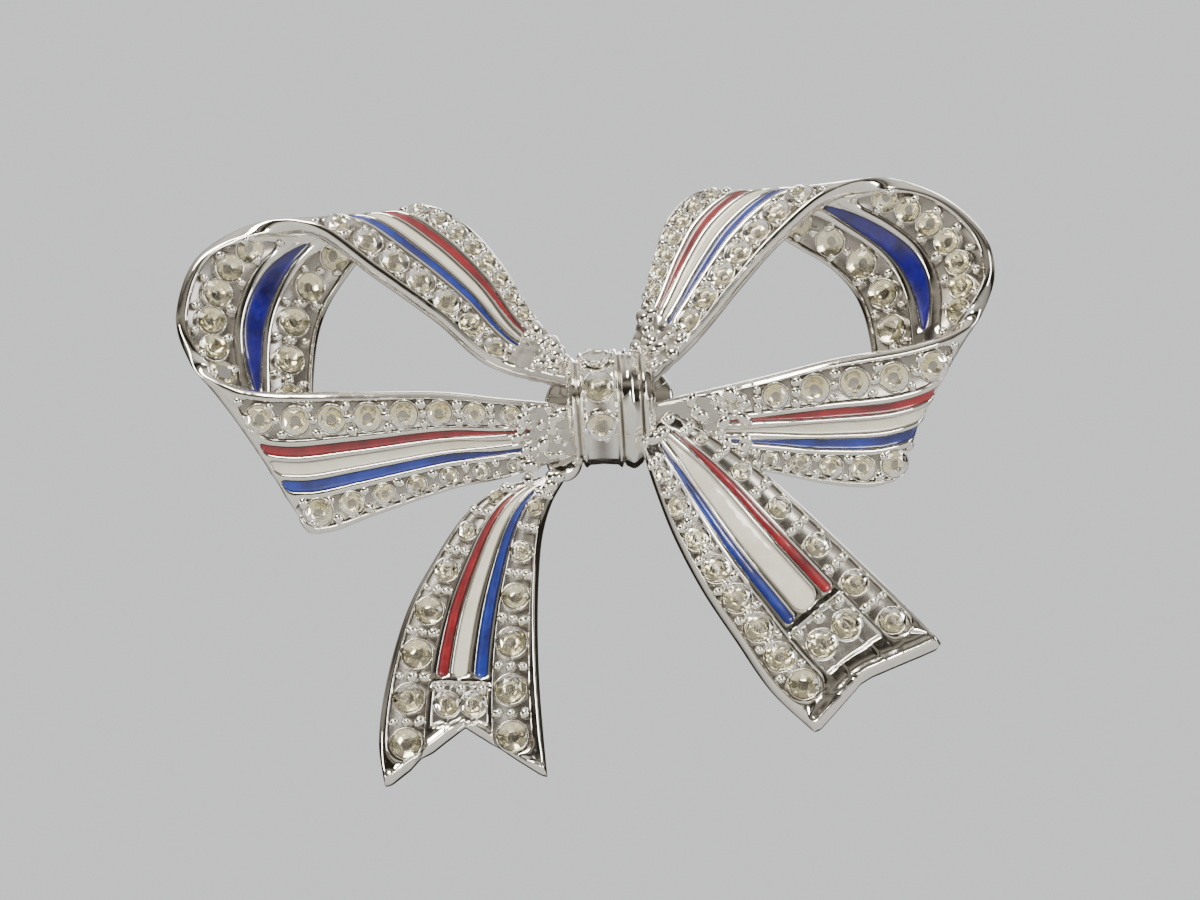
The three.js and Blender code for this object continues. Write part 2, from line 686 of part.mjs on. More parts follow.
function loop(name, table, side, padX, lowerSpan, stones, cutters) {
  const ribbon = loopRibbon(table, side);
  const cells = [
    ...bandCells("upper", UPPER_SPAN, [BLUE_STRIPE, WHITE_STRIPE, RED_STRIPE], stones.upper),
    ...endCells(stones.end),
    ...bandCells("lower", lowerSpan, [RED_STRIPE, WHITE_STRIPE, BLUE_STRIPE], stones.lower),
  ];
  const recesses = fillCells(name, ribbon, cells);
  let casting = strip(ribbon, [0, ribbon.rows], [0, 1], ribbon.under, ribbon.face);
  casting = casting.add(pad(padX));
  for (const cutter of [...recesses, ...cutters]) casting = casting.subtract(cutter);
  place(name, casting, SILVER);
}

// A tail: stones along both edges, three stripes, and stones side by side above the notch.
// spans holds the ranges along it of the side rows, the stripes and the end cell.
function tail(name, table, layout, spans, colors, stones, notch, cutters) {
  const ribbon = tailRibbon(table);
  const across = [layout.first_stripe, layout.middle_stripe, layout.last_stripe];
  const stripes = colors.map(([label, color], i) => ({
    part: `${label}_enamel`,
    along: spans.stripes,
    across: across[i],
    color,
  }));
  const whole = [layout.first_stripe[0], layout.last_stripe[1]];
  const cells = [
    { part: "left_stones", along: spans.sides, across: layout.left_stones, stones: stones[0] },
    ...stripes,
    { part: "right_stones", along: spans.sides, across: layout.right_stones, stones: stones[1] },
    { part: "end_stones", along: spans.end, across: whole, stones: stones[2], abreast: true },
  ];
  const recesses = fillCells(name, ribbon, cells);
  let casting = strip(ribbon, [0, ribbon.rows], [0, 1], null, ribbon.face);
  const wedge = loft(NOTCH_HEIGHTS.map((height) => notch.map(([x, z]) => at(x, z, height))));
  for (const cutter of [...recesses, ...cutters, wedge]) casting = casting.subtract(cutter);
  place(name, casting, SILVER);
}

// A tail's upper rows grown by the clearance, to cut its neighbour back.
function tailCutter(table) {
  const ribbon = tailRibbon(table);
  const { across } = shares(ribbon, [0.5, 1.5], [0, 1], 2 * GAP);
  return strip(ribbon, [0, CUTTER_ROWS], [-across, 1 + across], -CUTTER_REACH, CUTTER_REACH);
}

const knotGrown = wholeKnot(GAP);

const LEFT_STONES = { upper: [6, 7], end: [6, 4], lower: [7, 6] };
const RIGHT_STONES = { upper: [6, 6], end: [6, 4], lower: [6, 5] };
const rightCutters = [knotGrown, tailCutter(RIGHT_TAIL)];
loop("left_loop", LEFT_LOOP, -1, HINGE_X, LEFT_LOWER_SPAN, LEFT_STONES, [knotGrown]);
loop("right_loop", RIGHT_LOOP, 1, CATCH_X, RIGHT_LOWER_SPAN, RIGHT_STONES, rightCutters);
tail(
  "left_tail",
  LEFT_TAIL,
  LEFT_TAIL_CELLS,
  { sides: [1.0, 6.3], stripes: [1.0, 5.1], end: [5.18, 5.72] },
  [RED_STRIPE, WHITE_STRIPE, BLUE_STRIPE],
  [7, 6, 2],
  LEFT_NOTCH,
  [knotGrown],
);
tail(
  "right_tail",
  RIGHT_TAIL,
  RIGHT_TAIL_CELLS,
  { sides: [0.8, 5.35], stripes: [0.8, 4.5], end: [4.62, 5.3] },
  [BLUE_STRIPE, WHITE_STRIPE, RED_STRIPE],
  [8, 6, 2],
  RIGHT_NOTCH,
  [knotGrown],
);

let knot = wholeKnot();
KNOT_STONE_ANGLES.forEach((angle, i) => {
  knot = knot.subtract(knotStone(angle, GAP));
  place(`knot_stone_${i + 1}`, knotStone(angle, 0), CRYSTAL);
});
place("knot", knot, SILVER);

place("hinge_bracket", hingeBracket(), STEEL);
place("hinge_rivet", hingeRivet(), STEEL);
place("pin_stem", pinStem(), STEEL);
place("catch_body", catchBody(), STEEL);
place("catch_lock", catchLock(), STEEL);

export default brooch;
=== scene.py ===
"""The looks of a ribbon-bow brooch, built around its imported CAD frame.

Lengths in this file are millimetres and become metres as each mesh is made. The brooch stands
upright: +X to the right of someone who looks at its front, +Z up, and the front faces -Y.
"""

import json
import math
import random

import bmesh
import bpy
import numpy as np
from mathutils import Matrix, Vector


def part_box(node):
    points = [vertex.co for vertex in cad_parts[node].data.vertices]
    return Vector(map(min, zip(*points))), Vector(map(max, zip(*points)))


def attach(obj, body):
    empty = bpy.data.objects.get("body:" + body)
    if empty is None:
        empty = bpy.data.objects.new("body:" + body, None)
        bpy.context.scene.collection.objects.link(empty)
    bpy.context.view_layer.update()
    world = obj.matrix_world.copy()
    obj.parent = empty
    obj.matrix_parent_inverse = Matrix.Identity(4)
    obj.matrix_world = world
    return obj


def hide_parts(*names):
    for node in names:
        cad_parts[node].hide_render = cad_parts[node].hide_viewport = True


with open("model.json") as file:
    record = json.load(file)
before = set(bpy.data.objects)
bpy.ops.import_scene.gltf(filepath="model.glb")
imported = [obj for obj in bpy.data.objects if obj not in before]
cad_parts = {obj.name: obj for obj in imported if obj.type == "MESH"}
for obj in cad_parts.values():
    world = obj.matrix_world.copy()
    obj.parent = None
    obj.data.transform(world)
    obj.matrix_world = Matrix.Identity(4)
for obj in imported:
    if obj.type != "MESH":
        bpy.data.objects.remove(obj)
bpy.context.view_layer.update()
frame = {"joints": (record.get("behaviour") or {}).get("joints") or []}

MM = 0.001

# ---- Driving dimensions ----
RIBBON = 0.9  # thickness of the cast ribbon
CELL_DEPTH = 0.4  # depth of the enamel cells
STONE = 1.8  # diameter of a rhinestone
STONE_PROUD = 0.26  # height of a rhinestone's table above the metal
STONE_DEEP = 0.34  # depth of its point below the metal
GIRDLE_HEIGHT = 0.04  # height of its widest part above the metal
STONE_CLEAR = 0.14  # a stone is this much narrower than its channel
END_MARGIN = STONE / 2 + 0.2  # from a channel's end to the middle of its last stone
LAND_CROWN = 0.05  # how far the metal between two cells bulges
RIM_CROWN = 0.1  # the same for a ribbon's edges
RIM_ROUND = 0.24  # depth of the rounding of a ribbon's edges
WALL_BEVEL = 0.05  # width of the bevel on a cell's walls
CAST_LUMPS = 0.012  # unevenness of a cast face
ROOT_LUMPS = 0.09  # the same where a loop runs into the knot
CHANNEL_DEPTH = 0.24  # depth of the stone channels' visible floors
BEAD_RADIUS = (0.27, 0.36)  # least and greatest radius of the beads that hold the stones
FLOOR_SHADE_AND_GRIME = 0.75  # painted shade and grime: how dark the channels' floors are drawn
ROOT_SHADE_AND_GRIME = 0.6  # painted shade and grime on the metal by the knot, drawn the same way
ROOMY = 1.1  # half the distance between stones that leaves room for a bead between them
BEAD_ASIDE = 0.36  # of a channel's width, from its middle to the beads
GRAIN_RADIUS = (0.28, 0.52)  # least and greatest radius of the cast grains by the knot
LOOP_GRAINS, TAIL_GRAINS = 20, 8  # grains on each root
STATION = 0.035  # length of a mesh row along a ribbon, in rows of its table
SEED = 7

# A loop's ribbon, as pairs of points from the upper root, round the loop's end and back to
# the lower root: the front rim's x, z and height above the back, then the back edge's.
LEFT_LOOP = [
    (-1.9, 0.3, 3.5, -1.8, 1.9, 1.9),
    (-6.9, 1.9, 3.8, -4.3, 5.9, 1.4),
    (-10.3, 5.1, 4.2, -6.1, 9.6, 1.0),
    (-14.2, 8.4, 4.5, -8.2, 12.5, 0.8),
    (-17.8, 11.4, 4.7, -10.5, 13.8, 0.8),
    (-21.5, 11.9, 4.8, -13.2, 12.7, 0.8),
    (-25.2, 10.2, 4.8, -16.0, 9.9, 0.8),
    (-26.6, 6.5, 4.8, -18.1, 6.0, 0.8),
    (-25.9, 3.8, 4.8, -18.8, -0.5, 0.8),
    (-24.3, 2.1, 4.8, -18.9, -6.6, 0.8),
    (-21.6, 1.0, 4.7, -17.9, -7.4, 0.8),
    (-16.5, 0.6, 4.5, -14.9, -6.5, 0.8),
    (-10.5, 0.3, 4.1, -10.0, -5.2, 1.0),
    (-6.6, -0.3, 3.8, -6.5, -4.8, 1.4),
    (-1.9, -1.0, 3.5, -1.9, -3.7, 1.9),
]
RIGHT_LOOP = [
    (2.5, -0.3, 3.6, 2.0, 2.3, 1.9),
    (6.1, 2.7, 3.9, 3.2, 6.9, 1.4),
    (9.0, 5.8, 4.2, 4.1, 9.9, 1.0),
    (11.8, 8.6, 4.5, 5.3, 12.4, 0.8),
    (15.2, 11.2, 4.7, 7.2, 13.5, 0.8),
    (18.8, 12.0, 4.8, 9.6, 12.4, 0.8),
    (22.2, 10.9, 4.8, 12.5, 10.1, 0.8),
    (24.6, 8.3, 4.8, 15.5, 7.7, 0.8),
    (25.1, 5.6, 4.8, 17.1, 4.6, 0.8),
    (24.1, 3.4, 4.8, 17.5, -1.0, 0.8),
    (22.5, 1.9, 4.8, 17.7, -5.9, 0.8),
    (19.4, 1.0, 4.7, 16.6, -6.9, 0.8),
    (14.5, 0.5, 4.5, 13.6, -6.5, 0.8),
    (9.6, -0.3, 4.1, 9.6, -5.4, 1.0),
    (2.7, -1.3, 3.6, 2.7, -4.0, 1.8),
]
# A tail's ribbon, from the knot down: the left edge's x and z, the right edge's x and z, and
# the heights of its back and its front.
LEFT_TAIL = [
    (-4.6, -5.0, -2.9, -5.0, 0.1, 1.6),
    (-7.3, -5.6, -3.8, -6.5, 0.1, 1.6),
    (-9.4, -7.1, -4.5, -8.6, 0.1, 1.6),
    (-11.4, -9.8, -4.9, -11.4, 0.1, 1.6),
    (-13.2, -12.9, -5.15, -14.6, 0.1, 1.6),
    (-14.6, -17.0, -5.25, -18.0, 0.1, 1.6),
    (-15.3, -21.0, -5.2, -21.2, 0.1, 1.6),
    (-15.0, -24.2, -5.1, -24.0, 0.1, 1.6),
]
RIGHT_TAIL = [
    (2.1, -3.9, 3.9, -1.9, 2.5, 3.8),
    (2.7, -6.3, 6.3, -3.3, 1.9, 3.4),
    (3.7, -9.4, 9.0, -5.2, 1.0, 2.6),
    (5.2, -12.8, 11.4, -7.5, 0.4, 2.0),
    (7.1, -16.2, 14.2, -10.6, 0.1, 1.7),
    (9.0, -19.5, 17.2, -14.1, 0.1, 1.6),
    (11.6, -22.4, 19.9, -17.5, 0.1, 1.6),
]
# The V cut out of a tail's end: the point of the V, then a point beyond each tip.
LEFT_NOTCH = ((-10.0, -20.4), (-15.6, -24.3), (-4.5, -24.4))
RIGHT_NOTCH = ((14.8, -19.2), (11.0, -22.9), (20.6, -17.2))

# Cells across a loop's band and across its end, as fractions of its width from the front rim.
# A span is where cells start and end, in rows of the loop's table.
BAND_CELLS = ((0.07, 0.34), (0.39, 0.46), (0.5, 0.59), (0.63, 0.71), (0.76, 0.95))
END_CELLS = ((0.07, 0.4), (0.46, 0.61), (0.66, 0.95))
CRESCENT_SHORTER = 0.45  # a crescent stops this many rows before its neighbours' lower ends
UPPER_SPAN = (0.85, 4.3)
LEFT_END_SPAN = (5.4, 8.5)
RIGHT_END_SPAN = (5.35, 9.1)
LEFT_LOWER_SPAN = (9.3, 13.4)
RIGHT_LOWER_SPAN = (9.95, 13.4)
FOLD_ROW = 7.0  # between the upper band and the lower band
# The same for the tails, as fractions from the left edge and in rows of the tail's table.
LEFT_TAIL_CELLS = ((0.06, 0.28), (0.33, 0.4), (0.43, 0.53), (0.58, 0.66), (0.7, 0.93))
RIGHT_TAIL_CELLS = ((0.05, 0.28), (0.33, 0.4), (0.44, 0.62), (0.66, 0.73), (0.77, 0.95))
LEFT_SPANS = {"sides": (0.8, 6.45), "stripes": (0.5, 5.0), "end": (5.08, 5.8)}
RIGHT_SPANS = {"sides": (0.6, 5.55), "stripes": (0.4, 4.4), "end": (4.5, 5.35)}
LEFT_COLORS = ("red", "white", "blue")
RIGHT_COLORS = ("blue", "white", "red")
# How many stones each row holds: a loop's inner and outer rows, then a tail's left, right and
# end rows.
LEFT_STONES = {"upper": (7, 8), "end": (6, 6), "lower": (8, 7)}
RIGHT_STONES = {"upper": (7, 7), "end": (7, 6), "lower": (6, 6)}
LEFT_TAIL_STONES = (7, 6, 2)
RIGHT_TAIL_STONES = (8, 6, 2)

# The knot's sections from left to right: x, height of the front, half-height.
KNOT_SECTIONS = [
    (-2.2, 5.2, 2.75),
    (-1.4, 5.9, 3.2),
    (-0.2, 6.2, 3.35),
    (1.4, 6.1, 3.35),
    (2.4, 5.8, 3.2),
    (3.0, 5.2, 2.8),
]
KNOT_Z = -0.8
KNOT_FOOT = 1.6  # height of the middle of the knot's rounded sides
KNOT_SUNK = 0.3  # the wrap starts this far above the plate's back
# Ridges down the knot's wrap, with grooves below zero: height, x and half-width.
KNOT_RIDGES = [
    (0.26, -1.95, 0.2),
    (-0.16, -1.68, 0.1),
    (0.22, -1.4, 0.16),
    (-0.1, -0.3, 0.7),
    (0.18, 0.82, 0.13),
    (-0.2, 1.02, 0.08),
    (-0.2, 2.34, 0.09),
    (0.2, 2.66, 0.19),
]
PLEATS_START, PLEATS_X, PLEAT_PITCH = 1.02, 1.65, 0.44
KNOT_STONE_X = -0.3
KNOT_STONE_ANGLES = (48, 90, 132)
KNOT_STONE_RADIUS = STONE / 2 + 0.04
KNOT_STONE_LIFT = 0.12  # of the stones' girdles above the wrap
KNOT_BEAD_REACH = 1.02  # from a knot stone's middle to its beads
# The oval plates behind the knot: x, z, half-width, half-height and front.
CORE = (0.3, -0.4, 4.1, 2.9, 2.2)
LUG = (-2.8, -3.4, 1.2, 1.6, 1.2)

# The pin's pieces, placed from the two joints in the frame.
PLATE_LENGTH, PLATE_WIDTH, PLATE_THICKNESS = 4.0, 2.8, 0.45
PLATE_LIFT = 0.04  # the plate's height above the pad
CHEEK_RADIUS, CHEEK_THICKNESS, CHEEK_OUTER = 1.1, 0.5, 1.28
RIVET_HEAD, RIVET_SHANK, RIVET_DOME = 0.66, 0.36, 0.28
KNUCKLE, KNUCKLE_HOLE, KNUCKLE_EDGE = 0.95, 0.4, 0.1
WIRE_RADIUS, WIRE_START = 0.42, 0.72  # the wire starts inside the knuckle round the rivet
# The wire's radius at shares of its length from the rivet to the tip.
WIRE_TAPER = [(WIRE_RADIUS, 0.66), (0.4, 0.74), (0.36, 0.84), (0.28, 0.92)]
WIRE_TAPER += [(0.17, 0.965), (0.08, 0.99), (0.02, 1)]
RING_LENGTH, RING_OUTER, RING_INNER, RING_MOUTH = 1.5, 1.5, 1.0, 1.3
POST_FOOT = 0.3  # height where the catch's post starts, inside the plate
POST_SUNK = 0.1  # how far the post runs into the ring's wall
SLEEVE_OUTER, SLEEVE_INNER, SLEEVE_MOUTH = 0.95, 0.55, 1.0
FLANGE_OUTER, FLANGE_INNER, FLANGE_THICKNESS = 1.25, 0.57, 0.35
TAB_HALF_WIDTH, TAB_THICKNESS = 0.45, 0.5

# The stage. Its camera sees what the photo shows, from below and a little turned.
CAMERA_ELEVATION = -17.0
CAMERA_ROLL = 4.0
CAMERA_DISTANCE = 160.0
CAMERA_AIM = (-0.5, 0.0, -3.0)
LENS = 75.1
FLOOR_Z = -85.0
FLOOR_RADII = (1.0, 2500.0)  # of the middle disc and of the whole floor
# Each light's name, place, width and height, power and color.
LIGHTS = [
    ("key", (-120, -330, 300), (200, 130), 2.0, (1.0, 0.96, 0.87)),
    ("front", (60, -420, -40), (90, 70), 0.5, (1.0, 0.98, 0.92)),
    ("side", (330, -140, 60), (70, 200), 0.5, (0.95, 0.97, 1.0)),
    ("other_side", (-340, -60, -20), (60, 180), 0.45, (1.0, 0.95, 0.88)),
    ("rear", (80, 320, 240), (240, 150), 1.0, (0.97, 0.98, 1.0)),
]
# What reflections see, from straight down at 0 to straight up at 1, and what the camera sees.
ROOM = [
    (0.0, (0.3, 0.28, 0.24)),
    (0.13, (0.22, 0.2, 0.17)),
    (0.18, (0.02, 0.016, 0.012)),
    (0.23, (0.05, 0.042, 0.034)),
    (0.3, (0.72, 0.68, 0.58)),
    (0.36, (0.08, 0.066, 0.05)),
    (0.48, (0.02, 0.016, 0.012)),
    (0.6, (0.025, 0.02, 0.016)),
    (0.67, (0.3, 0.28, 0.24)),
    (0.73, (0.04, 0.034, 0.028)),
    (0.84, (0.4, 0.38, 0.34)),
    (1.0, (0.9, 0.87, 0.8)),
]
BACKDROP = (0.86, 0.87, 0.88)


# ---- Small maths ----
def smooth(value, low, high):
    """0 below low, 1 above high, and an even S between them."""
    t = np.clip((value - low) / (high - low), 0, 1)
    return t * t * (3 - 2 * t)


def bump(value, middle, half):
    """A round bump of height 1 around middle that is gone a few half-widths away."""
    return np.exp(-(((value - middle) / half) ** 2))


def unit(vectors):
    return vectors / np.linalg.norm(vectors, axis=-1, keepdims=True)


def turns(count):
    """The angles of count even steps round a circle."""
    return np.arange(count) * 2 * math.pi / count


def curve(points, u):
    """Points of an even curve through points, at places u counted in points."""
    points = np.asarray(points, float)
    ends = np.vstack([2 * points[0] - points[1], points, 2 * points[-1] - points[-2]])
    i = np.clip(np.floor(u).astype(int), 0, len(points) - 2)
    t = (u - i)[..., None]
    before, start, end, after = ends[i], ends[i + 1], ends[i + 2], ends[i + 3]
    leave, arrive = (end - before) / 2, (after - start) / 2
    return (
        (2 * t**3 - 3 * t**2 + 1) * start
        + (t**3 - 2 * t**2 + t) * leave
        + (3 * t**2 - 2 * t**3) * end
        + (t**3 - t**2) * arrive
    )


def cast_wobble(points, size):
    """An even, repeatable unevenness between -1 and 1 with lumps of about size."""
    x, y, z = (points[..., i] / size for i in range(3))
    waves = (
        np.sin(2.1 * x + 1.3 * z)
        + np.sin(1.7 * y - 2.3 * x + 1.0)
        + np.sin(2.9 * z + 0.7 * x - 2.0)
        + np.sin(3.7 * x - 3.1 * z + 2.6 * y)
    )
    return waves / 4


# ---- Ribbons ----
class LoopRibbon:
    """A loop's ribbon: a point for a place along it, across it and above its middle surface.
    Positive heights are on the outer face, which the bands are decorated on."""

    def __init__(self, table, side):
        rows = np.array(table, float)
        self.front = np.stack([rows[:, 0], -rows[:, 2], rows[:, 1]], 1)
        self.back = np.stack([rows[:, 3], -rows[:, 5], rows[:, 4]], 1)
        self.side = side
        self.rows = len(rows) - 1
        self.face = RIBBON / 2

    def under(self, u):
        return np.full(np.shape(u), -RIBBON / 2)

    def middle(self, u, v):
        front, back = curve(self.front, u), curve(self.back, u)
        return front + (back - front) * np.asarray(v)[..., None]

    def normal(self, u, v):
        nudge = 0.02
        forward = self.middle(np.clip(u + nudge, 0, self.rows), v)
        forward = forward - self.middle(np.clip(u - nudge, 0, self.rows), v)
        sideways = curve(self.back, u) - curve(self.front, u)
        return self.side * unit(np.cross(forward, sideways))

    def point(self, u, v, h):
        return self.middle(u, v) + self.normal(u, v) * np.asarray(h)[..., None]

    def width(self, u):
        return np.linalg.norm(curve(self.back, u) - curve(self.front, u), axis=-1)


class TailRibbon:
    """A tail lies flat: its heights are measured from its face, straight out of the front."""

    def __init__(self, table):
        rows = np.array(table, float)
        self.left = np.stack([rows[:, 0], -rows[:, 4], rows[:, 1]], 1)
        self.right = np.stack([rows[:, 2], -rows[:, 4], rows[:, 3]], 1)
        self.heights = rows[:, 5] - rows[:, 4]
        self.rows = len(rows) - 1
        self.face = 0.0

    def under(self, u):
        return -np.interp(u, np.arange(self.rows + 1), self.heights)

    def point(self, u, v, h):
        left, right = curve(self.left, u), curve(self.right, u)
        base = left + (right - left) * np.asarray(v)[..., None]
        lift = np.asarray(h) - self.under(u)
        base[..., 1] -= lift
        return base

    def normal(self, u, v):
        nudge = 0.2
        flat = np.zeros(np.shape(u))
        forward = self.point(np.clip(u + nudge, 0, self.rows), v, flat)
        forward = forward - self.point(np.clip(u - nudge, 0, self.rows), v, flat)
        sideways = self.point(u, np.ones_like(flat), flat) - self.point(u, flat, flat)
        return unit(np.cross(forward, sideways))

    def width(self, u):
        return np.linalg.norm(curve(self.right, u) - curve(self.left, u), axis=-1)


def row_length(ribbon, u, v=0.5):
    """Millimetres along the ribbon for one row of its table, near u."""
    low, high = np.clip(u - 0.25, 0, ribbon.rows), np.clip(u + 0.25, 0, ribbon.rows)
    v = np.full(np.shape(u), v)
    flat = np.zeros(np.shape(u))
    run = np.linalg.norm(ribbon.point(high, v, flat) - ribbon.point(low, v, flat), axis=-1)
    return run / (high - low)


class Cell:
    """A recess in a ribbon's face with its filling."""

    def __init__(self, node, across, along, color=None, stones=0, sign=1, root=None, lens=False):
        self.node = node
        self.low, self.high = across
        self.start, self.end = along
        self.color = color
        self.stones = stones
        self.sign = sign
        self.root = root  # the end, "start" or "end", where an enamel stripe runs thin
        self.lens = lens  # pointed at both ends, as a crescent
        self.depth = CHANNEL_DEPTH if stones else CELL_DEPTH
        self.abreast = False  # its stones stand side by side, across the ribbon

    def edges(self, ribbon, u):
        """Both edges of the cell at places u: rounded ends, and thin towards the root."""
        middle, half = (self.low + self.high) / 2, (self.high - self.low) / 2
        inside = np.minimum(u - self.start, self.end - u) * row_length(ribbon, u, middle)
        if self.lens:
            reach = (u - (self.start + self.end) / 2) / ((self.end - self.start) / 2)
            share = np.sqrt(np.clip(1 - reach**2, 0.0025, 1))
        else:
            round_end = np.clip(inside / (half * ribbon.width(u)), 0, 1)
            share = np.sqrt(np.clip(1 - (1 - round_end) ** 2, 0.04, 1))
            share = share + (1 - share) * smooth(-inside, 0.0, 0.8)
        if self.root == "start":
            share = share * (0.4 + 0.6 * smooth(u, self.start, self.start + 1.3))
        if self.root == "end":
            share = share * (0.4 + 0.6 * smooth(-u, -self.end, -self.end + 1.3))
        return middle - half * share, middle + half * share

    def near(self, ribbon, u):
        """1 beside the cell, and 0 on the plain metal beyond its ends."""
        inside = np.minimum(u - self.start, self.end - u) * row_length(ribbon, u)
        return smooth(inside, -1.2, 0.0)

    def open(self, ribbon, u):
        """1 inside the cell, 0 outside it, with steep walls at its ends."""
        inside = np.minimum(u - self.start, self.end - u) * row_length(ribbon, u)
        return smooth(inside, 0.0, 0.1)


# ---- Meshes ----
class Sketch:
    """Vertices and faces in millimetres, gathered from several shapes into one mesh."""

    def __init__(self):
        self.points = []
        self.faces = []
        self.materials = []
        self.shade = []
        self.count = 0

    def add(self, points, faces, material=0, shade=0.0):
        points = np.asarray(points, float).reshape(-1, 3)
        shade = np.broadcast_to(np.asarray(shade, float).reshape(-1), (len(points),))
        if signed_volume(points, faces) < 0:
            faces = [face[::-1] for face in faces]
        self.points.append(points)
        self.shade.append(shade)
        self.faces.extend([[i + self.count for i in face] for face in faces])
        if isinstance(material, int):
            material = [material] * len(faces)
        self.materials.extend(material)
        self.count += len(points)

    def piece(self, name, materials, slot, replaces=(), body="root", flat=False):
        mesh = bpy.data.meshes.new(name)
        mesh.from_pydata((np.vstack(self.points) * MM).tolist(), [], self.faces)
        mesh.polygons.foreach_set("material_index", self.materials)
        mesh.polygons.foreach_set("use_smooth", [not flat] * len(mesh.polygons))
        # the recess attribute carries the painted shade that plating and enamel darken by, with grime on
        # the plating
        recess = mesh.attributes.new("recess", "FLOAT", "POINT")
        recess.data.foreach_set("value", np.concatenate(self.shade).astype(np.float32))
        for material in materials:
            mesh.materials.append(material)
        mesh.update()
        piece = bpy.data.objects.new(name, mesh)
        bpy.context.scene.collection.objects.link(piece)
        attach(piece, body)
        if replaces:
            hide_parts(*replaces)
        return piece


def signed_volume(points, faces):
    total = 0.0
    for face in faces:
        a = points[face[0]]
        for i in range(1, len(face) - 1):
            total += np.dot(a, np.cross(points[face[i]], points[face[i + 1]]))
    return total


def ring_faces(rings, count):
    """Quads between closed rings of points that follow each other."""
    faces = []
    for ring in range(rings - 1):
        for i in range(count):
            a, b = ring * count + i, ring * count + (i + 1) % count
            faces.append([a, b, b + count, a + count])
    return faces


def swept(rings, cap="fan"):
    """Points and faces of a solid through rings of points, closed at both ends. A "strip" cap
    joins the first half of the end ring to its second half, point by point."""
    rings = np.asarray(rings, float)
    total, count = rings.shape[:2]
    faces = ring_faces(total, count)
    for first in (0, (total - 1) * count):
        if cap == "fan":
            faces.append(list(range(first, first + count))[:: -1 if first == 0 else 1])
            continue
        for i in range(count // 2 - 1):
            a, b = first + i, first + i + 1
            c, d = first + count - 2 - i, first + count - 1 - i
            faces.append([d, c, b, a] if first == 0 else [a, b, c, d])
    return rings.reshape(-1, 3), faces


def basis(normal, spin=0.0):
    """Two directions across a normal, turned about it by spin."""
    normal = Vector(normal).normalized()
    across = normal.orthogonal().normalized()
    across.rotate(Matrix.Rotation(spin, 3, normal))
    return np.array(across), np.array(normal.cross(across)), np.array(normal)


def turned(profile, sides, centre, axis):
    """Circles about an axis through centre, one for each radius and height in a profile."""
    across, along, normal = basis(axis)
    angles = turns(sides)
    circle = np.cos(angles)[:, None] * across + np.sin(angles)[:, None] * along
    return [np.asarray(centre) + circle * max(r, 1e-4) + normal * h for r, h in profile]


def lathe(profile, sides, centre, axis):
    """A solid turned about an axis, closed by flat faces at the profile's two ends."""
    return swept(turned(profile, sides, centre, axis))


def lathe_ring(profile, sides, centre, axis):
    """A ring turned about an axis, whose profile closes on itself."""
    total = len(profile) * sides
    faces = [[i % total for i in face] for face in ring_faces(len(profile) + 1, sides)]
    return np.vstack(turned(profile, sides, centre, axis)), faces


def bead_mesh(level=3):
    """A ball's points and faces, of radius 1."""
    ball = bmesh.new()
    bmesh.ops.create_icosphere(ball, subdivisions=level, radius=1.0)
    points = np.array([v.co[:] for v in ball.verts])
    faces = [[v.index for v in face.verts] for face in ball.faces]
    ball.free()
    return points, faces


BEAD_POINTS, BEAD_FACES = bead_mesh()


def add_bead(sketch, centre, normal, radius, flatten=0.8, stretch=1.0, spin=0.0):
    across, along, normal = basis(normal, spin)
    frame_axes = np.stack([across * stretch, along / stretch, normal * flatten])
    points = BEAD_POINTS @ frame_axes * radius
    points = points + normal * (cast_wobble(points + centre, radius)[:, None] * radius * 0.06)
    sketch.add(points + np.asarray(centre), BEAD_FACES)


# ---- Node trees ----
def new_material(name):
    material = bpy.data.materials.new(name)
    material.use_nodes = True
    tree = material.node_tree
    return material, tree, tree.nodes["Principled BSDF"]


def add_node(tree, kind, **values):
    made = tree.nodes.new(kind)
    for key, value in values.items():
        if hasattr(made, key):
            setattr(made, key, value)
        else:
            made.inputs[key.replace("_", " ")].default_value = value
    return made


def noise(tree, scale, detail=4.0, roughness=0.5, stretch=None):
    """A noise texture in object space, so that its grain keeps its size on every piece."""
    place = add_node(tree, "ShaderNodeTexCoord")
    coordinates = place.outputs["Object"]
    if stretch:
        mapping = add_node(tree, "ShaderNodeMapping")
        mapping.inputs["Scale"].default_value = stretch
        tree.links.new(coordinates, mapping.inputs["Vector"])
        coordinates = mapping.outputs["Vector"]
    texture = add_node(tree, "ShaderNodeTexNoise", Scale=scale, Detail=detail, Roughness=roughness)
    tree.links.new(coordinates, texture.inputs["Vector"])
    return texture.outputs["Fac"]


def ramp(tree, factor, stops):
    made = add_node(tree, "ShaderNodeValToRGB")
    elements = made.color_ramp.elements
    while len(elements) < len(stops):
        elements.new(0.5)
    for element, (position, color) in zip(elements, stops):
        element.position = position
        element.color = (*color, 1.0)
    tree.links.new(factor, made.inputs["Fac"])
    return made.outputs["Color"]


def grey(level):
    return (level, level, level)


def mix_color(tree, factor, a, b, blend="MIX"):
    made = add_node(tree, "ShaderNodeMix", data_type="RGBA", blend_type=blend)
    for socket, value in ((made.inputs[0], factor), (made.inputs[6], a), (made.inputs[7], b)):
        if isinstance(value, (int, float)):
            socket.default_value = value
        elif isinstance(value, tuple):
            socket.default_value = (*value, 1.0)
        else:
            tree.links.new(value, socket)
    return made.outputs[2]


def add_bump(tree, shader, layers):
    """Bump layers of (height socket, distance in mm, strength), one on top of the other."""
    last = None
    for height, distance, strength in layers:
        made = add_node(tree, "ShaderNodeBump", Strength=strength, Distance=distance * MM)
        tree.links.new(height, made.inputs["Height"])
        if last:
            tree.links.new(last, made.inputs["Normal"])
        last = made.outputs["Normal"]
    tree.links.new(last, shader.inputs["Normal"])


def recess_socket(tree):
    return add_node(tree, "ShaderNodeAttribute", attribute_name="recess").outputs["Fac"]


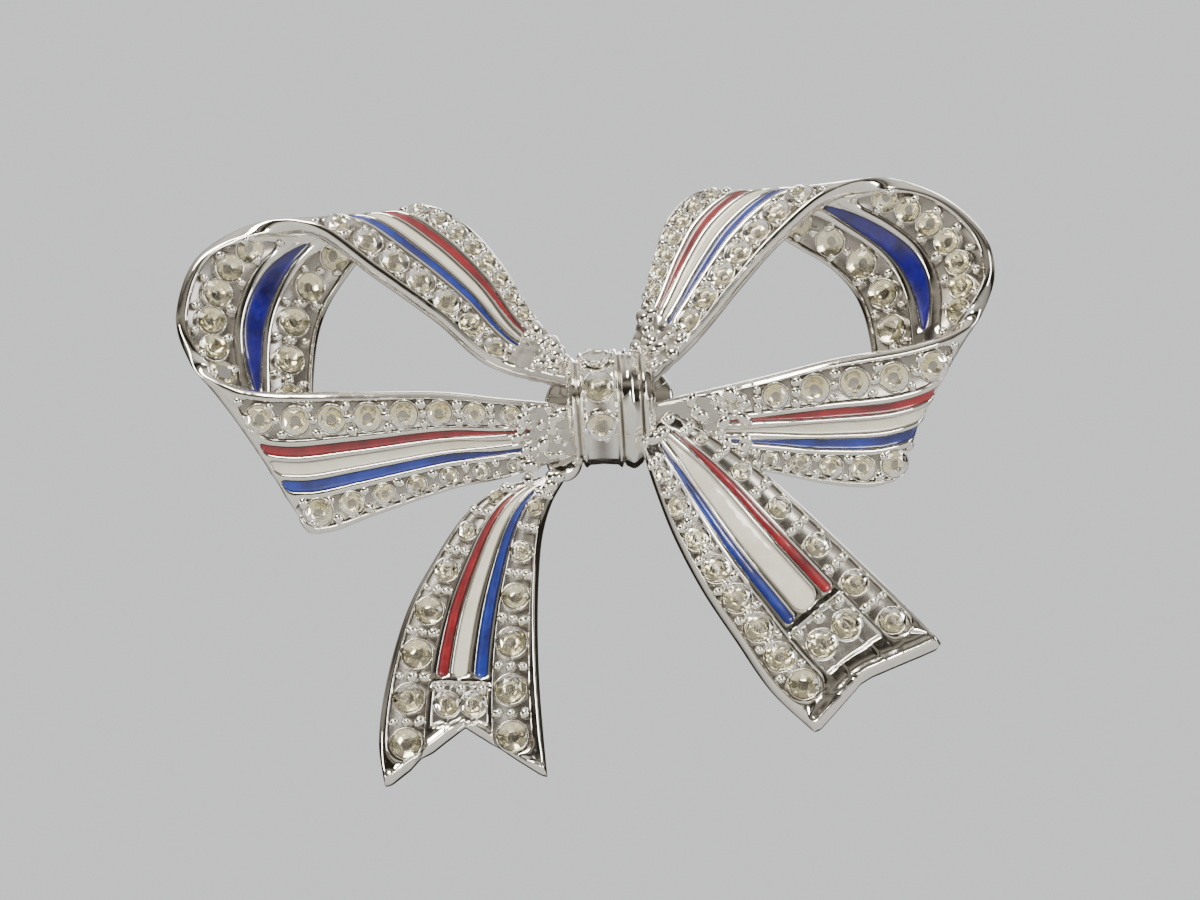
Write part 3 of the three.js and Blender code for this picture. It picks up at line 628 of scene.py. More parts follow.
def plating(name, bright, dark, low, high, waviness):
    """Polished plating over a casting, with fine wear and waviness; the recess attribute darkens its
    colour towards dark as painted shade and grime.
    """
    material, tree, shader = new_material(name)
    shader.inputs["Metallic"].default_value = 1.0
    cloud = noise(tree, 420, 3.0)
    tone = ramp(tree, cloud, [(0.35, bright), (0.7, tuple(c * 0.93 for c in bright))])
    # painted shade and grime: the recess attribute mixes the colour towards dark and roughens it
    shade_and_grime = ramp(tree, recess_socket(tree), [(0.25, grey(0.0)), (1.0, grey(0.85))])
    tree.links.new(mix_color(tree, shade_and_grime, tone, dark), shader.inputs["Base Color"])
    wear = noise(tree, 1900, 6.0, 0.65)
    rough = ramp(tree, wear, [(0.35, grey(low)), (0.75, grey(high))])
    grimy = mix_color(tree, shade_and_grime, rough, grey(0.38))
    tree.links.new(grimy, shader.inputs["Roughness"])
    scratches = noise(tree, 900, 5.0, 0.7, (1.0, 6.0, 0.35))
    waves = noise(tree, 780, 2.0, 0.45)
    add_bump(tree, shader, [(waves, waviness, 0.5), (scratches, 0.004, 0.25)])
    return material


def enamel(name, pale, deep, coat_roughness=0.04, base_roughness=0.28):
    """Glossy enamel: pigment that pools unevenly under a clear, slightly wavy surface, darkened by
    painted shade along the cell walls and ends.
    """
    material, tree, shader = new_material(name)
    pool = noise(tree, 650, 4.0)
    tone = ramp(tree, pool, [(0.32, deep), (0.68, pale)])
    # painted shade: the recess attribute darkens the enamel towards its walls and ends
    rim = ramp(tree, recess_socket(tree), [(0.0, grey(0.0)), (1.0, grey(0.75))])
    edge = tuple(c * 0.35 for c in deep)
    tree.links.new(mix_color(tree, rim, tone, edge), shader.inputs["Base Color"])
    speck = noise(tree, 3800, 3.0)
    rough = ramp(tree, speck, [(0.4, grey(base_roughness)), (0.8, grey(base_roughness + 0.15))])
    tree.links.new(rough, shader.inputs["Roughness"])
    shader.inputs["Coat Weight"].default_value = 1.0
    shader.inputs["Coat Roughness"].default_value = coat_roughness
    shader.inputs["Coat IOR"].default_value = 1.55
    add_bump(tree, shader, [(noise(tree, 900, 2.0), 0.03, 0.35), (speck, 0.003, 0.2)])
    return material


def crystal(name):
    """Clear cut glass with the faint warm cast of old foil-backed stones."""
    material, tree, shader = new_material(name)
    haze = noise(tree, 500, 2.0)
    tone = ramp(tree, haze, [(0.3, (1.0, 0.985, 0.93)), (0.7, (0.985, 0.96, 0.86))])
    tree.links.new(tone, shader.inputs["Base Color"])
    shader.inputs["Transmission Weight"].default_value = 1.0
    shader.inputs["IOR"].default_value = 1.6
    rough = ramp(tree, noise(tree, 2600, 5.0), [(0.4, grey(0.0)), (0.85, grey(0.06))])
    tree.links.new(rough, shader.inputs["Roughness"])
    return material


def foil(name):
    """The mirror foil on the back of a stone, a little crinkled and yellowed."""
    material, tree, shader = new_material(name)
    shader.inputs["Metallic"].default_value = 0.88
    age = noise(tree, 700, 4.0)
    clean, yellowed, worn = (1.0, 0.97, 0.82), (0.97, 0.91, 0.66), (0.62, 0.53, 0.3)
    tone = ramp(tree, age, [(0.3, clean), (0.62, yellowed), (0.82, worn)])
    tree.links.new(tone, shader.inputs["Base Color"])
    rough = ramp(tree, noise(tree, 2200, 4.0), [(0.35, grey(0.04)), (0.8, grey(0.2))])
    tree.links.new(rough, shader.inputs["Roughness"])
    add_bump(tree, shader, [(noise(tree, 1500, 3.0), 0.012, 0.4)])
    return material


# each plating's second colour is the dark of its painted shade and grime
SILVER = plating("silver_plate_cast", (0.93, 0.9, 0.83), (0.05, 0.034, 0.02), 0.04, 0.14, 0.035)
BEAD_SILVER = plating("silver_plate_beads", (0.95, 0.92, 0.84), (0.2, 0.16, 0.12), 0.03, 0.1, 0.02)
STEEL = plating("pin_steel_bright", (0.72, 0.73, 0.75), (0.2, 0.18, 0.16), 0.14, 0.3, 0.01)
ENAMELS = {
    "red": enamel("red_enamel_gloss", (0.34, 0.003, 0.012), (0.12, 0.001, 0.005)),
    "white": enamel("white_enamel_gloss", (0.96, 0.92, 0.78), (0.84, 0.78, 0.62)),
    "blue": enamel("blue_enamel_gloss", (0.004, 0.03, 0.36), (0.001, 0.005, 0.1)),
    "navy": enamel("navy_enamel_gloss", (0.008, 0.003, 0.22), (0.002, 0.0008, 0.06)),
}
ENAMEL_SLOTS = {
    "red": "red_enamel",
    "white": "white_enamel",
    "blue": "blue_enamel",
    "navy": "blue_enamel",
}
CRYSTAL = crystal("rhinestone_glass")
FOIL = foil("rhinestone_foil")


# ---- Castings ----
def stations(ribbon, cells):
    """Places along a ribbon for the rows of its mesh, closer together at the cells' ends."""
    places = [np.linspace(0, ribbon.rows, round(ribbon.rows / STATION) + 1)]
    for end in {edge for cell in cells for edge in (cell.start, cell.end)}:
        places.append(end + np.array([-0.01, 0.0, 0.008, 0.016, 0.024, 0.04, 0.06]))
    u = np.unique(np.round(np.concatenate(places), 4))
    return u[(u >= 0) & (u <= ribbon.rows)]


def face_columns(ribbon, u, groups):
    """Columns of one face from one rim to the other: fractions across, heights above the face
    and how much painted shade and grime each point takes in a recess. A group is the cells that share
    their columns."""
    width = ribbon.width(u)
    bevel = WALL_BEVEL / width
    zero = np.zeros_like(u)
    columns = []

    def land(low, high, crown, shares):
        for share in shares:
            rise = crown * (1 - (2 * share - 1) ** 2) * present
            columns.append((low + (high - low) * share, zero + rise, zero))

    present = np.max([cell.near(ribbon, u) for cells in groups for cell in cells], axis=0)
    previous, shares, crown = RIM_ROUND / width, (0.12, 0.35, 0.65, 0.9), RIM_CROWN
    for cells in groups:
        low, high = cells[0].edges(ribbon, u)
        depth = cells[0].depth * cells[0].open(ribbon, u)
        if len(cells) > 1:
            other_low, other_high = cells[1].edges(ribbon, u)
            low = np.where(u < FOLD_ROW, low, other_low)
            high = np.where(u < FOLD_ROW, high, other_high)
            depth = depth + cells[1].depth * cells[1].open(ribbon, u)
        land(previous, low - bevel, crown, shares)
        # each wall column: share across the bevel, drop into the cell, and painted shade and grime
        wall = ((-1.0, 0.0, 0.15), (-0.2, 0.12, 0.8), (0.5, 0.9, 1.0), (1.2, 1.0, 0.85))
        opened = depth / cells[0].depth
        for share, drop, dark in wall:
            columns.append((low + share * bevel, -drop * depth, dark * opened))
        columns.append(((low + high) / 2, -depth, FLOOR_SHADE_AND_GRIME * opened))
        for share, drop, dark in reversed(wall):
            columns.append((high - share * bevel, -drop * depth, dark * opened))
        previous, shares, crown = high + bevel, (0.5,), LAND_CROWN
    land(previous, 1 - RIM_ROUND / width, RIM_CROWN, (0.1, 0.35, 0.65, 0.88))
    return tuple(np.stack(part, 1) for part in zip(*columns))


def rim_columns(ribbon, u, at_start):
    """The rounded edge of a ribbon between its two faces: fractions across, and heights from
    1 on the outer face to -1 on the inner one."""
    angles = np.radians([72, 50, 25, 0, -25, -50, -72])
    across = RIM_ROUND * (1 - np.cos(angles))[None, :] / ribbon.width(u)[:, None]
    heights = np.broadcast_to(np.sin(angles), across.shape)
    return (across, heights) if at_start else (1 - across, heights)


def cast_ribbon(sketch, ribbon, outer_groups, inner_groups, cells):
    """A loop's casting: outer face, far edge, inner face and near edge, all in one sweep."""
    u = stations(ribbon, cells)
    outer_v, outer_h, outer_r = face_columns(ribbon, u, outer_groups)
    inner_v, inner_h, inner_r = face_columns(ribbon, u, inner_groups)
    far_v, far_h = rim_columns(ribbon, u, False)
    near_v, near_h = rim_columns(ribbon, u, True)
    half = RIBBON / 2
    v = np.hstack([outer_v, far_v, inner_v[:, ::-1], near_v[:, ::-1]])
    h = np.hstack([half + outer_h, half * far_h, -half - inner_h[:, ::-1], half * near_h[:, ::-1]])
    rim = np.zeros_like(far_v)
    recess = np.hstack([outer_r, rim, inner_r[:, ::-1], rim])
    along = np.broadcast_to(u[:, None], v.shape)
    rough = ribbon.point(along, v, h)
    from_end = np.minimum(along, ribbon.rows - along)
    near_root = smooth(-from_end, -1.3, -0.5)
    lumps = CAST_LUMPS * cast_wobble(rough, 1.8) + ROOT_LUMPS * near_root * cast_wobble(rough, 0.35)
    rings = ribbon.point(along, v, h + lumps * np.sign(h))
    # painted shade and grime on the metal where the loop runs into the knot
    recess = np.maximum(recess, ROOT_SHADE_AND_GRIME * near_root)
    points, faces = swept(rings)
    sketch.add(points, faces, shade=recess.reshape(-1))


def notch_reach(ribbon, v, notch):
    """For each fraction across a tail, how far along it the V lets the metal run."""
    (px, pz), (lx, lz), (rx, rz) = notch
    u = np.linspace(0, ribbon.rows, 1400)
    along, across = np.meshgrid(u, v)
    grid = ribbon.point(along, across, 0 * along)
    x, z = grid[..., 0], grid[..., 2]

    def beyond(ax, az, bx, bz):
        return (bx - ax) * (z - az) - (bz - az) * (x - ax)

    left, right = beyond(px, pz, lx, lz), beyond(px, pz, rx, rz)
    cut = (left > 0) & (right < 0)
    first = np.where(cut.any(1), cut.argmax(1), len(u) - 1)
    return u[first]


def cast_tail(sketch, ribbon, groups, cells, end_cell, notch):
    """A tail's casting. Below the start of its end cell the rows bend, column by column, until
    the last one lies on the edge of the V."""
    u = stations(ribbon, cells)
    close = ribbon.rows - np.array([0.16, 0.12, 0.09, 0.065, 0.045, 0.03, 0.018, 0.009, 0.003])
    u = np.unique(np.concatenate([u, close]))
    rim = 4  # the columns of a rounded edge that belong to the upper side
    far_v, far_h = rim_columns(ribbon, u, False)
    near_v, near_h = rim_columns(ribbon, u, True)
    rough_v, _, _ = face_columns(ribbon, u, groups)
    columns = np.hstack([near_v[:, rim - 1 :: -1], rough_v, far_v[:, :rim]])[-1]
    reach = notch_reach(ribbon, columns, notch)
    corner = 0.05 * (bump(columns, 0.0, 0.03) + bump(columns, 1.0, 0.03))
    reach = (reach - corner)[None, :]
    start = np.minimum(end_cell.start - 0.5, reach - 0.4)
    share = np.clip((u[:, None] - start) / (ribbon.rows - start), 0, None)
    along = np.where(u[:, None] > start, start + share * (reach - start), u[:, None])

    parts = []
    for column in range(along.shape[1]):
        v, h, recess = face_columns(ribbon, along[:, column], groups)
        inner = column - rim
        if 0 <= inner < v.shape[1]:
            parts.append((v[:, inner], h[:, inner], recess[:, inner]))
        else:
            edge_v, edge_h = (near_v, near_h) if inner < 0 else (far_v, far_h)
            place = rim - 1 - column if inner < 0 else inner - v.shape[1]
            thick = -ribbon.under(along[:, column]) / 2
            height = -thick + thick * edge_h[:, place]
            parts.append((edge_v[:, place], height, np.zeros_like(height)))
    top_v, top_h, top_r = (np.stack([part[i] for part in parts], 1) for i in range(3))
    middle = (top_v > end_cell.low - 0.004) & (top_v < end_cell.high + 0.004)
    sunk = CHANNEL_DEPTH * end_cell.open(ribbon, along) * middle
    top_h = top_h - sunk
    # painted shade and grime on the end channel's floor
    top_r = np.maximum(top_r, sunk / CELL_DEPTH)

    edge = (reach - along) * 3.0
    top_h = top_h + RIM_CROWN * bump(edge, 0.4, 0.22) * (top_r < 0.5)
    top_h = top_h - 0.22 * (1 - smooth(edge, -0.02, 0.2))
    under_h = ribbon.under(along)
    low_h = under_h + 0.15 * (1 - smooth(edge, -0.02, 0.18))
    for side in (slice(0, rim), slice(-rim, None)):
        low_h[:, side] = under_h[:, side] - 0.5 * top_h[:, side]
    low_h = np.minimum(low_h, top_h - 0.05)
    flat = ribbon.point(along, top_v, top_h)
    top = ribbon.point(along, top_v, top_h + CAST_LUMPS * cast_wobble(flat, 1.8))
    under = ribbon.point(along, top_v, low_h + CAST_LUMPS * cast_wobble(flat, 2.4))
    rings = np.concatenate([top, under[:, ::-1]], 1)
    points, faces = swept(rings, cap="strip")
    shade = np.hstack([top_r, 0 * top_r[:, ::-1]])
    sketch.add(points, faces, shade=shade.reshape(-1))


# ---- Fillings ----
def enamel_fill(ribbon, cell):
    """The enamel of one cell: it climbs a little up the walls and sags between them."""
    gap = 0.02
    start = cell.start + gap / row_length(ribbon, np.array([cell.start]))[0]
    end = cell.end - gap / row_length(ribbon, np.array([cell.end]))[0]
    close = np.array([0.0, 0.01, 0.025])
    between = np.arange(start + 0.05, end - 0.05, 0.045)
    u = np.concatenate([start + close, between, end - close[::-1]])
    low, high = cell.edges(ribbon, u)
    middle, half = (low + high) / 2, (high - low) / 2 - gap / ribbon.width(u)
    half = np.maximum(half, 0.02 / ribbon.width(u))
    shares = np.array([-1.0, -0.92, -0.75, -0.45, -0.15, 0.15, 0.45, 0.75, 0.92, 1.0])
    v = middle[:, None] + half[:, None] * shares
    sag = -0.035 - 0.055 * (1 - shares**4)
    along = np.broadcast_to(u[:, None], v.shape)
    flat = ribbon.point(along, v, 0 * v)
    ends = np.minimum(u - start, end - u)[:, None] * 3.5
    top = ribbon.face + sag + 0.01 * cast_wobble(flat, 0.8) - 0.1 * (1 - smooth(ends, -0.02, 0.12))
    bottom = np.full_like(v, ribbon.face - CELL_DEPTH + 0.02)
    upper = ribbon.point(along, v, cell.sign * top)
    lower = ribbon.point(along, v, cell.sign * bottom)
    points, faces = swept(np.concatenate([upper, lower[:, ::-1]], 1), cap="strip")
    # painted shade at the enamel's sides and ends, next to the walls
    edge = np.broadcast_to(smooth(np.abs(shares), 0.8, 1.0), v.shape)
    edge = np.maximum(edge, 1 - smooth(ends, 0.0, 0.1))
    sketch = Sketch()
    sketch.add(points, faces, shade=np.hstack([edge, edge[:, ::-1]]).reshape(-1))
    sketch.piece(f"{cell.node}_fill", [ENAMELS[cell.color]], ENAMEL_SLOTS[cell.color], [cell.node])


def even_places(ribbon, cell):
    """Places of a row's stones along its channel, an even distance apart."""
    middle = (cell.low + cell.high) / 2
    gap = 0.04 / min(2.2, row_length(ribbon, np.array([(cell.start + cell.end) / 2]), middle)[0])
    u = np.linspace(cell.start + gap, cell.end - gap, 400)
    line = ribbon.point(u, np.full_like(u, middle), np.zeros_like(u))
    run = np.concatenate([[0], np.cumsum(np.linalg.norm(np.diff(line, axis=0), axis=1))])
    targets = np.linspace(END_MARGIN, run[-1] - END_MARGIN, cell.stones)
    return np.interp(targets, run, u), middle


def add_stone(sketch, centre, normal, radius, spin):
    """A round brilliant with a shallow back. The glass faces use material 0, and the foiled
    ones material 1. Its centre is on the metal's surface."""
    across, along, normal = basis(normal, spin)

    def ring(share, height, count, turn=0.0):
        angles = turns(count) + turn * 2 * math.pi / count
        circle = np.cos(angles)[:, None] * across + np.sin(angles)[:, None] * along
        return np.asarray(centre) + circle * radius * share + normal * height

    table = ring(0.56, STONE_PROUD, 8)
    star = ring(0.79, GIRDLE_HEIGHT + (STONE_PROUD - GIRDLE_HEIGHT) * 0.52, 8, 0.5)
    girdle = ring(1.0, GIRDLE_HEIGHT, 16)
    skirt = ring(1.0, GIRDLE_HEIGHT - 0.05, 16)
    waist = ring(0.5, -STONE_DEEP * 0.62, 8, 0.5)
    point = np.asarray(centre) - normal * STONE_DEEP
    points = np.vstack([table, star, girdle, skirt, waist, point])
    t, s, g, k, w, p = 0, 8, 16, 32, 48, 56
    glass, foiled = [list(range(8))], []
    for i in range(8):
        j = (i + 1) % 8
        before = (i - 1) % 8
        glass.append([t + i, s + i, t + j])
        glass.append([t + i, s + before, g + 2 * i, s + i])
        glass.append([s + i, g + 2 * i, g + 2 * i + 1])
        glass.append([s + i, g + 2 * i + 1, g + (2 * i + 2) % 16])
        foiled.append([k + 2 * i, w + before, w + i])
        foiled.append([k + 2 * i, w + i, k + 2 * i + 1])
        foiled.append([k + 2 * i + 1, w + i, k + (2 * i + 2) % 16])
        foiled.append([w + before, p, w + i])
    for i in range(16):
        j = (i + 1) % 16
        foiled.append([g + i, k + i, k + j, g + j])
    glass = [face[::-1] for face in glass]
    foiled = [face[::-1] for face in foiled]
    glass[0] = glass[0][::-1]
    sketch.add(points, glass + foiled, [0] * len(glass) + [1] * len(foiled))


def add_collar(sketch, centre, normal, radius):
    """The thin cup of metal round a stone's girdle."""
    profile = [
        (radius - 0.03, -CELL_DEPTH),
        (radius + 0.02, 0.0),
        (radius + 0.05, 0.035),
        (radius + 0.09, 0.02),
        (radius + 0.12, -0.08),
        (radius + 0.15, -CELL_DEPTH),
    ]
    sketch.add(*lathe_ring(profile, 40, centre, normal))


def stone_spots(ribbon, cell):
    """Places of a row's stones, as pairs of fractions along and across the ribbon, then the
    places of the beads that hold them."""
    if cell.abreast:
        u = (cell.start + cell.end) / 2
        share = (cell.high - cell.low) / cell.stones
        spots = [(u, cell.low + share * (i + 0.5)) for i in range(cell.stones)]
        beads = [(cell.start + 0.1, cell.low + share * i) for i in range(cell.stones + 1)]
        return spots, [(u, min(max(v, cell.low + 0.03), cell.high - 0.03)) for u, v in beads]
    places, middle = even_places(ribbon, cell)
    reach = (places[1] - places[0]) / 2
    joints = [places[0] - reach, *(places[1:] + places[:-1]) / 2, places[-1] + reach]
    joints = [min(max(u, cell.start + 0.05), cell.end - 0.05) for u in joints]
    if isinstance(ribbon, TailRibbon):
        joints.pop()
    aside = (cell.high - cell.low) * BEAD_ASIDE
    roomy = reach * row_length(ribbon, np.array([joints[1]]), middle)[0] > ROOMY
    sides = (-1, 0, 1) if roomy else (-1, 1)
    beads = [(u, middle + side * aside) for u in joints for side in sides]
    return [(u, middle) for u in places], beads


def stone_row(ribbon, cell, prongs, draws):
    """A row of stones in their cups, with shared beads between neighbours."""
    spots, joints = stone_spots(ribbon, cell)
    sketch = Sketch()
    bases, normals, radii = [], [], []
    for u, v in spots:
        here, across = np.array([u]), np.array([v])
        room = (cell.high - cell.low) * ribbon.width(here)[0]
        if cell.abreast:
            room = min(room / cell.stones, (cell.end - cell.start) * row_length(ribbon, here, v)[0])
        bases.append(ribbon.point(here, across, np.array([cell.sign * ribbon.face]))[0])
        normals.append(ribbon.normal(here, across)[0] * cell.sign)
        radii.append(min(STONE, room - STONE_CLEAR) / 2)
    for i, (centre, normal) in enumerate(zip(bases, normals)):
        near = [np.linalg.norm(centre - other) for k, other in enumerate(bases) if abs(k - i) == 1]
        radii[i] = min(radii[i], min(near) / 2 - 0.05)
        tilt = unit(normal + np.array([draws.uniform(-0.06, 0.06) for _ in range(3)]))
        add_stone(sketch, centre, tilt, radii[i], draws.uniform(0, math.pi / 4))
        add_collar(prongs, centre, normal, radii[i])
    sketch.piece(f"{cell.node}_crystals", [CRYSTAL, FOIL], "rhinestone", [cell.node], flat=True)
    for u, v in joints:
        here, across = np.array([u]), np.array([v])
        normal = ribbon.normal(here, across)[0] * cell.sign
        height = ribbon.face + draws.uniform(-0.1, -0.02)
        centre = ribbon.point(here, across, np.array([cell.sign * height]))[0]
        radius = draws.uniform(*BEAD_RADIUS)
        add_bead(prongs, centre, normal, radius, 0.9, draws.uniform(0.85, 1.2), draws.uniform(0, 3))


def root_nuggets(ribbon, prongs, span, count, draws):
    """Small cast grains where a ribbon runs into the knot."""
    for _ in range(count):
        here = np.array([draws.uniform(*span)])
        v = np.array([draws.uniform(0.06, 0.94)])
        normal = ribbon.normal(here, v)[0]
        centre = ribbon.point(here, v, np.array([ribbon.face + draws.uniform(-0.1, 0.06)]))[0]
        radius = draws.uniform(*GRAIN_RADIUS)
        add_bead(prongs, centre, normal, radius, 0.75, draws.uniform(0.8, 1.35), draws.uniform(0, 3))


def fill_cells(ribbon, cells, prongs, draws):
    for cell in cells:
        if cell.stones:
            stone_row(ribbon, cell, prongs, draws)
        else:
            enamel_fill(ribbon, cell)


# ---- Loops and tails ----
def band(loop, part, span, colors, stones, root):
    """The five cells of one band of a loop, from its front rim."""
    name = f"{loop}_{part}"
    inner, first, centre, last, outer = BAND_CELLS
    cells = [Cell(f"{name}_inner_stones", inner, span, stones=stones[0])]
    for across, color in zip((first, centre, last), colors):
        cells.append(Cell(f"{name}_{color}_enamel", across, span, color=color, root=root))
    cells.append(Cell(f"{name}_outer_stones", outer, span, stones=stones[1]))
    return cells


def build_loop(name, table, side, end_span, lower_span, stones, draws):
    ribbon = LoopRibbon(table, side)
    upper = band(name, "upper", UPPER_SPAN, ("blue", "white", "red"), stones["upper"], "start")
    lower = band(name, "lower", lower_span, ("red", "white", "blue"), stones["lower"], "end")
    outer, crescent, inner = END_CELLS
    crescent_span = (end_span[0], end_span[1] - CRESCENT_SHORTER)
    end = [
        Cell(f"{name}_end_outer_stones", outer, end_span, stones=stones["end"][0], sign=-1),
        Cell(f"{name}_end_crescent_enamel", crescent, crescent_span, color="navy", sign=-1, lens=True),
        Cell(f"{name}_end_inner_stones", inner, end_span, stones=stones["end"][1], sign=-1),
    ]
    cells = upper + end + lower
    casting, prongs = Sketch(), Sketch()
    cast_ribbon(casting, ribbon, list(zip(upper, lower)), [[cell] for cell in end], cells)
    fill_cells(ribbon, cells, prongs, draws)
    root_nuggets(ribbon, prongs, (0.2, 0.85), LOOP_GRAINS, draws)
    root_nuggets(ribbon, prongs, (ribbon.rows - 0.85, ribbon.rows - 0.2), LOOP_GRAINS, draws)
    casting.piece(f"{name}_casting", [SILVER], "silver_plate", [name])
    prongs.piece(f"{name}_prongs", [BEAD_SILVER], "silver_plate")


def build_tail(name, table, layout, spans, colors, stones, notch, draws):
    ribbon = TailRibbon(table)
    left, first, centre, last, right = layout
    cells = [Cell(f"{name}_left_stones", left, spans["sides"], stones=stones[0])]
    for across, color in zip((first, centre, last), colors):
        cells.append(Cell(f"{name}_{color}_enamel", across, spans["stripes"], color=color, root="start"))
    cells.append(Cell(f"{name}_right_stones", right, spans["sides"], stones=stones[1]))
    end_cell = Cell(f"{name}_end_stones", (first[0], last[1]), spans["end"], stones=stones[2])
    end_cell.abreast = True
    casting, prongs = Sketch(), Sketch()
    cast_tail(casting, ribbon, [[cell] for cell in cells], cells + [end_cell], end_cell, notch)
    fill_cells(ribbon, cells + [end_cell], prongs, draws)
    root_nuggets(ribbon, prongs, (0.0, 0.5), TAIL_GRAINS, draws)
    casting.piece(f"{name}_casting", [SILVER], "silver_plate", [name])
    prongs.piece(f"{name}_prongs", [BEAD_SILVER], "silver_plate")


# ---- The knot ----
def knot_profile(x):
    rows = np.array(KNOT_SECTIONS)
    place = np.interp(x, rows[:, 0], np.arange(len(rows)))
    found = curve(rows[:, 1:], place)
    return found[..., 0], found[..., 1]


def knot_point(x, angle, rise=0.0):
    """A point on the knot's front at an angle from straight up to straight down."""
    front, half = knot_profile(x)
    reach = (front - KNOT_FOOT) * np.sin(angle) ** 0.8
    outward = np.stack([0 * x, -np.sin(angle), np.cos(angle)], -1)
    point = np.stack([x + 0 * angle, -(KNOT_FOOT + reach), KNOT_Z + half * np.cos(angle)], -1)
    return point + outward * np.asarray(rise)[..., None]


def knot_relief(x, angle):
    """The bands, the pleats and the smooth bulge on the knot's wrap."""
    relief = sum(height * bump(x, middle, half) for height, middle, half in KNOT_RIDGES)
    low = smooth(np.degrees(angle), 42, 78)
    bulge = 0.34 * bump(x, PLEATS_X, 0.46)
    pleats = 0.16 * bump(x, PLEATS_X, 0.7) * np.cos((x - PLEATS_START) * 2 * math.pi / PLEAT_PITCH)
    return relief + bulge * low + pleats * (1 - low)


def knot_stone(name, prongs, angle, draws):
    """One of the knot's stones in its cup, with four beads."""
    here, a = np.array([KNOT_STONE_X]), np.array([angle])
    front, half = knot_profile(here)
    depth = front[0] - KNOT_FOOT
    outward = unit(np.array([0, -half[0] * math.sin(angle), depth * math.cos(angle)]))
    centre = knot_point(here, a)[0] + outward * KNOT_STONE_LIFT
    sketch = Sketch()
    add_stone(sketch, centre, outward, KNOT_STONE_RADIUS, draws.uniform(0, 0.7))
    sketch.piece(f"{name}_crystal", [CRYSTAL, FOIL], "rhinestone", [name], flat=True)
    add_collar(prongs, centre, outward, KNOT_STONE_RADIUS)
    across, along, _ = basis(outward, 0.4)
    for turn in turns(4) + math.pi / 4:
        place = across * math.cos(turn) + along * math.sin(turn)
        add_bead(prongs, centre + place * KNOT_BEAD_REACH, outward, 0.2)


def build_knot(draws):
    casting, prongs = Sketch(), Sketch()
    x = np.linspace(KNOT_SECTIONS[0][0], KNOT_SECTIONS[-1][0], 150)
    angle = np.linspace(0.02, math.pi - 0.02, 120)
    grid_x, grid_a = np.meshgrid(x, angle, indexing="ij")
    relief = knot_relief(grid_x, grid_a)
    rough = knot_point(grid_x, grid_a, relief)
    front = knot_point(grid_x, grid_a, relief + CAST_LUMPS * cast_wobble(rough, 0.6))
    feet = front[:, [-1, 0]].copy()
    feet[..., 1] = -KNOT_SUNK
    rings = np.concatenate([front, feet], 1)
    ends = []
    for end, outward in ((0, -1), (-1, 1)):
        middle = rings[end].mean(0)
        middle[1] = rings[end][:, 1].mean()
        for share, step in ((0.97, 0.06), (0.9, 0.13), (0.7, 0.18)):
            ring = middle + (rings[end] - middle) * share
            ring[:, 0] += outward * step
            ring[:, 1] = np.minimum(ring[:, 1], -KNOT_SUNK)
            ends.append(ring)
    rings = np.concatenate([np.array(ends[2::-1]), rings, np.array(ends[3:])])
    # painted shade and grime in the knot's grooves
    recess = np.clip(-relief / 0.12, 0, 1)
    shade = np.zeros(rings.shape[:2])
    shade[3:-3, : len(angle)] = recess
    points, faces = swept(rings)
    casting.add(points, faces, shade=shade.reshape(-1))
    add_oval_plate(casting, CORE)
    add_oval_plate(casting, LUG)
    for i, degrees in enumerate(KNOT_STONE_ANGLES):
        knot_stone(f"knot_stone_{i + 1}", prongs, math.radians(degrees), draws)
    casting.piece("knot_casting", [SILVER], "silver_plate", ["knot"])
    prongs.piece("knot_prongs", [BEAD_SILVER], "silver_plate")


def add_oval_plate(sketch, oval):
    """An oval plate behind the knot that roots are soldered to."""
    centre_x, centre_z, half_width, half_height, front = oval
    angles = turns(96)
    profile = [(0.25, 0.0), (0.06, 0.06), (0.0, 0.22)]
    profile += [(0.0, front - 0.3), (0.08, front - 0.08), (0.3, front)]
    rings = []
    for inset, height in profile:
        x = centre_x + (half_width - inset) * np.cos(angles)
        z = centre_z + (half_height - inset) * np.sin(angles)
        rings.append(np.stack([x, np.full_like(angles, -height), z], 1))
    points, faces = swept(rings)
    sketch.add(points, faces)


# ---- The pin's pieces ----
def pin_joint(name):
    joint = next(j for j in frame["joints"] if j["name"] == name)
    return np.array(joint["pos_m"]) / MM


def bevelled(points, faces, width, segments=3):
    """A solid with its sharp edges rounded."""
    solid = bmesh.new()
    made = [solid.verts.new(p) for p in points]
    for face in faces:
        solid.faces.new([made[i] for i in face])
    bmesh.ops.recalc_face_normals(solid, faces=solid.faces)
    sharp = [e for e in solid.edges if e.is_manifold and e.calc_face_angle(0) > math.radians(30)]
    bmesh.ops.bevel(solid, geom=sharp, offset=width, segments=segments, affect="EDGES", profile=0.6)
    solid.verts.index_update()
    out_points = np.array([v.co[:] for v in solid.verts])
    out_faces = [[v.index for v in f.verts] for f in solid.faces]
    solid.free()
    return out_points, out_faces


def extruded(outline, low, high, place):
    """A flat outline between two heights; place turns (a, b, height) into a point."""
    rings = [[place(a, b, height) for a, b in outline] for height in (low, high)]
    return swept(rings)


def arc(centre, radius, start, end, count):
    angles = np.radians(np.linspace(start, end, count))
    return [(centre[0] + radius * math.cos(a), centre[1] + radius * math.sin(a)) for a in angles]


def rounded_rectangle(half_width, half_height, radius):
    outline = []
    for (sx, sy), start in (((1, 1), 0), ((-1, 1), 90), ((-1, -1), 180), ((1, -1), 270)):
        centre = (sx * (half_width - radius), sy * (half_height - radius))
        outline += arc(centre, radius, start, start + 90, 7)
    return outline


def half_height(node):
    low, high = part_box(node)
    return (high.z - low.z) / MM / 2


def add_plate(sketch, x):
    """The stamped plate under the hinge or the catch."""
    outline = rounded_rectangle(PLATE_LENGTH / 2, PLATE_WIDTH / 2, 0.5)
    top = PLATE_LIFT + PLATE_THICKNESS
    points, faces = extruded(outline, PLATE_LIFT, top, lambda a, b, h: (x + a, h, b))
    sketch.add(*bevelled(points, faces, 0.07))


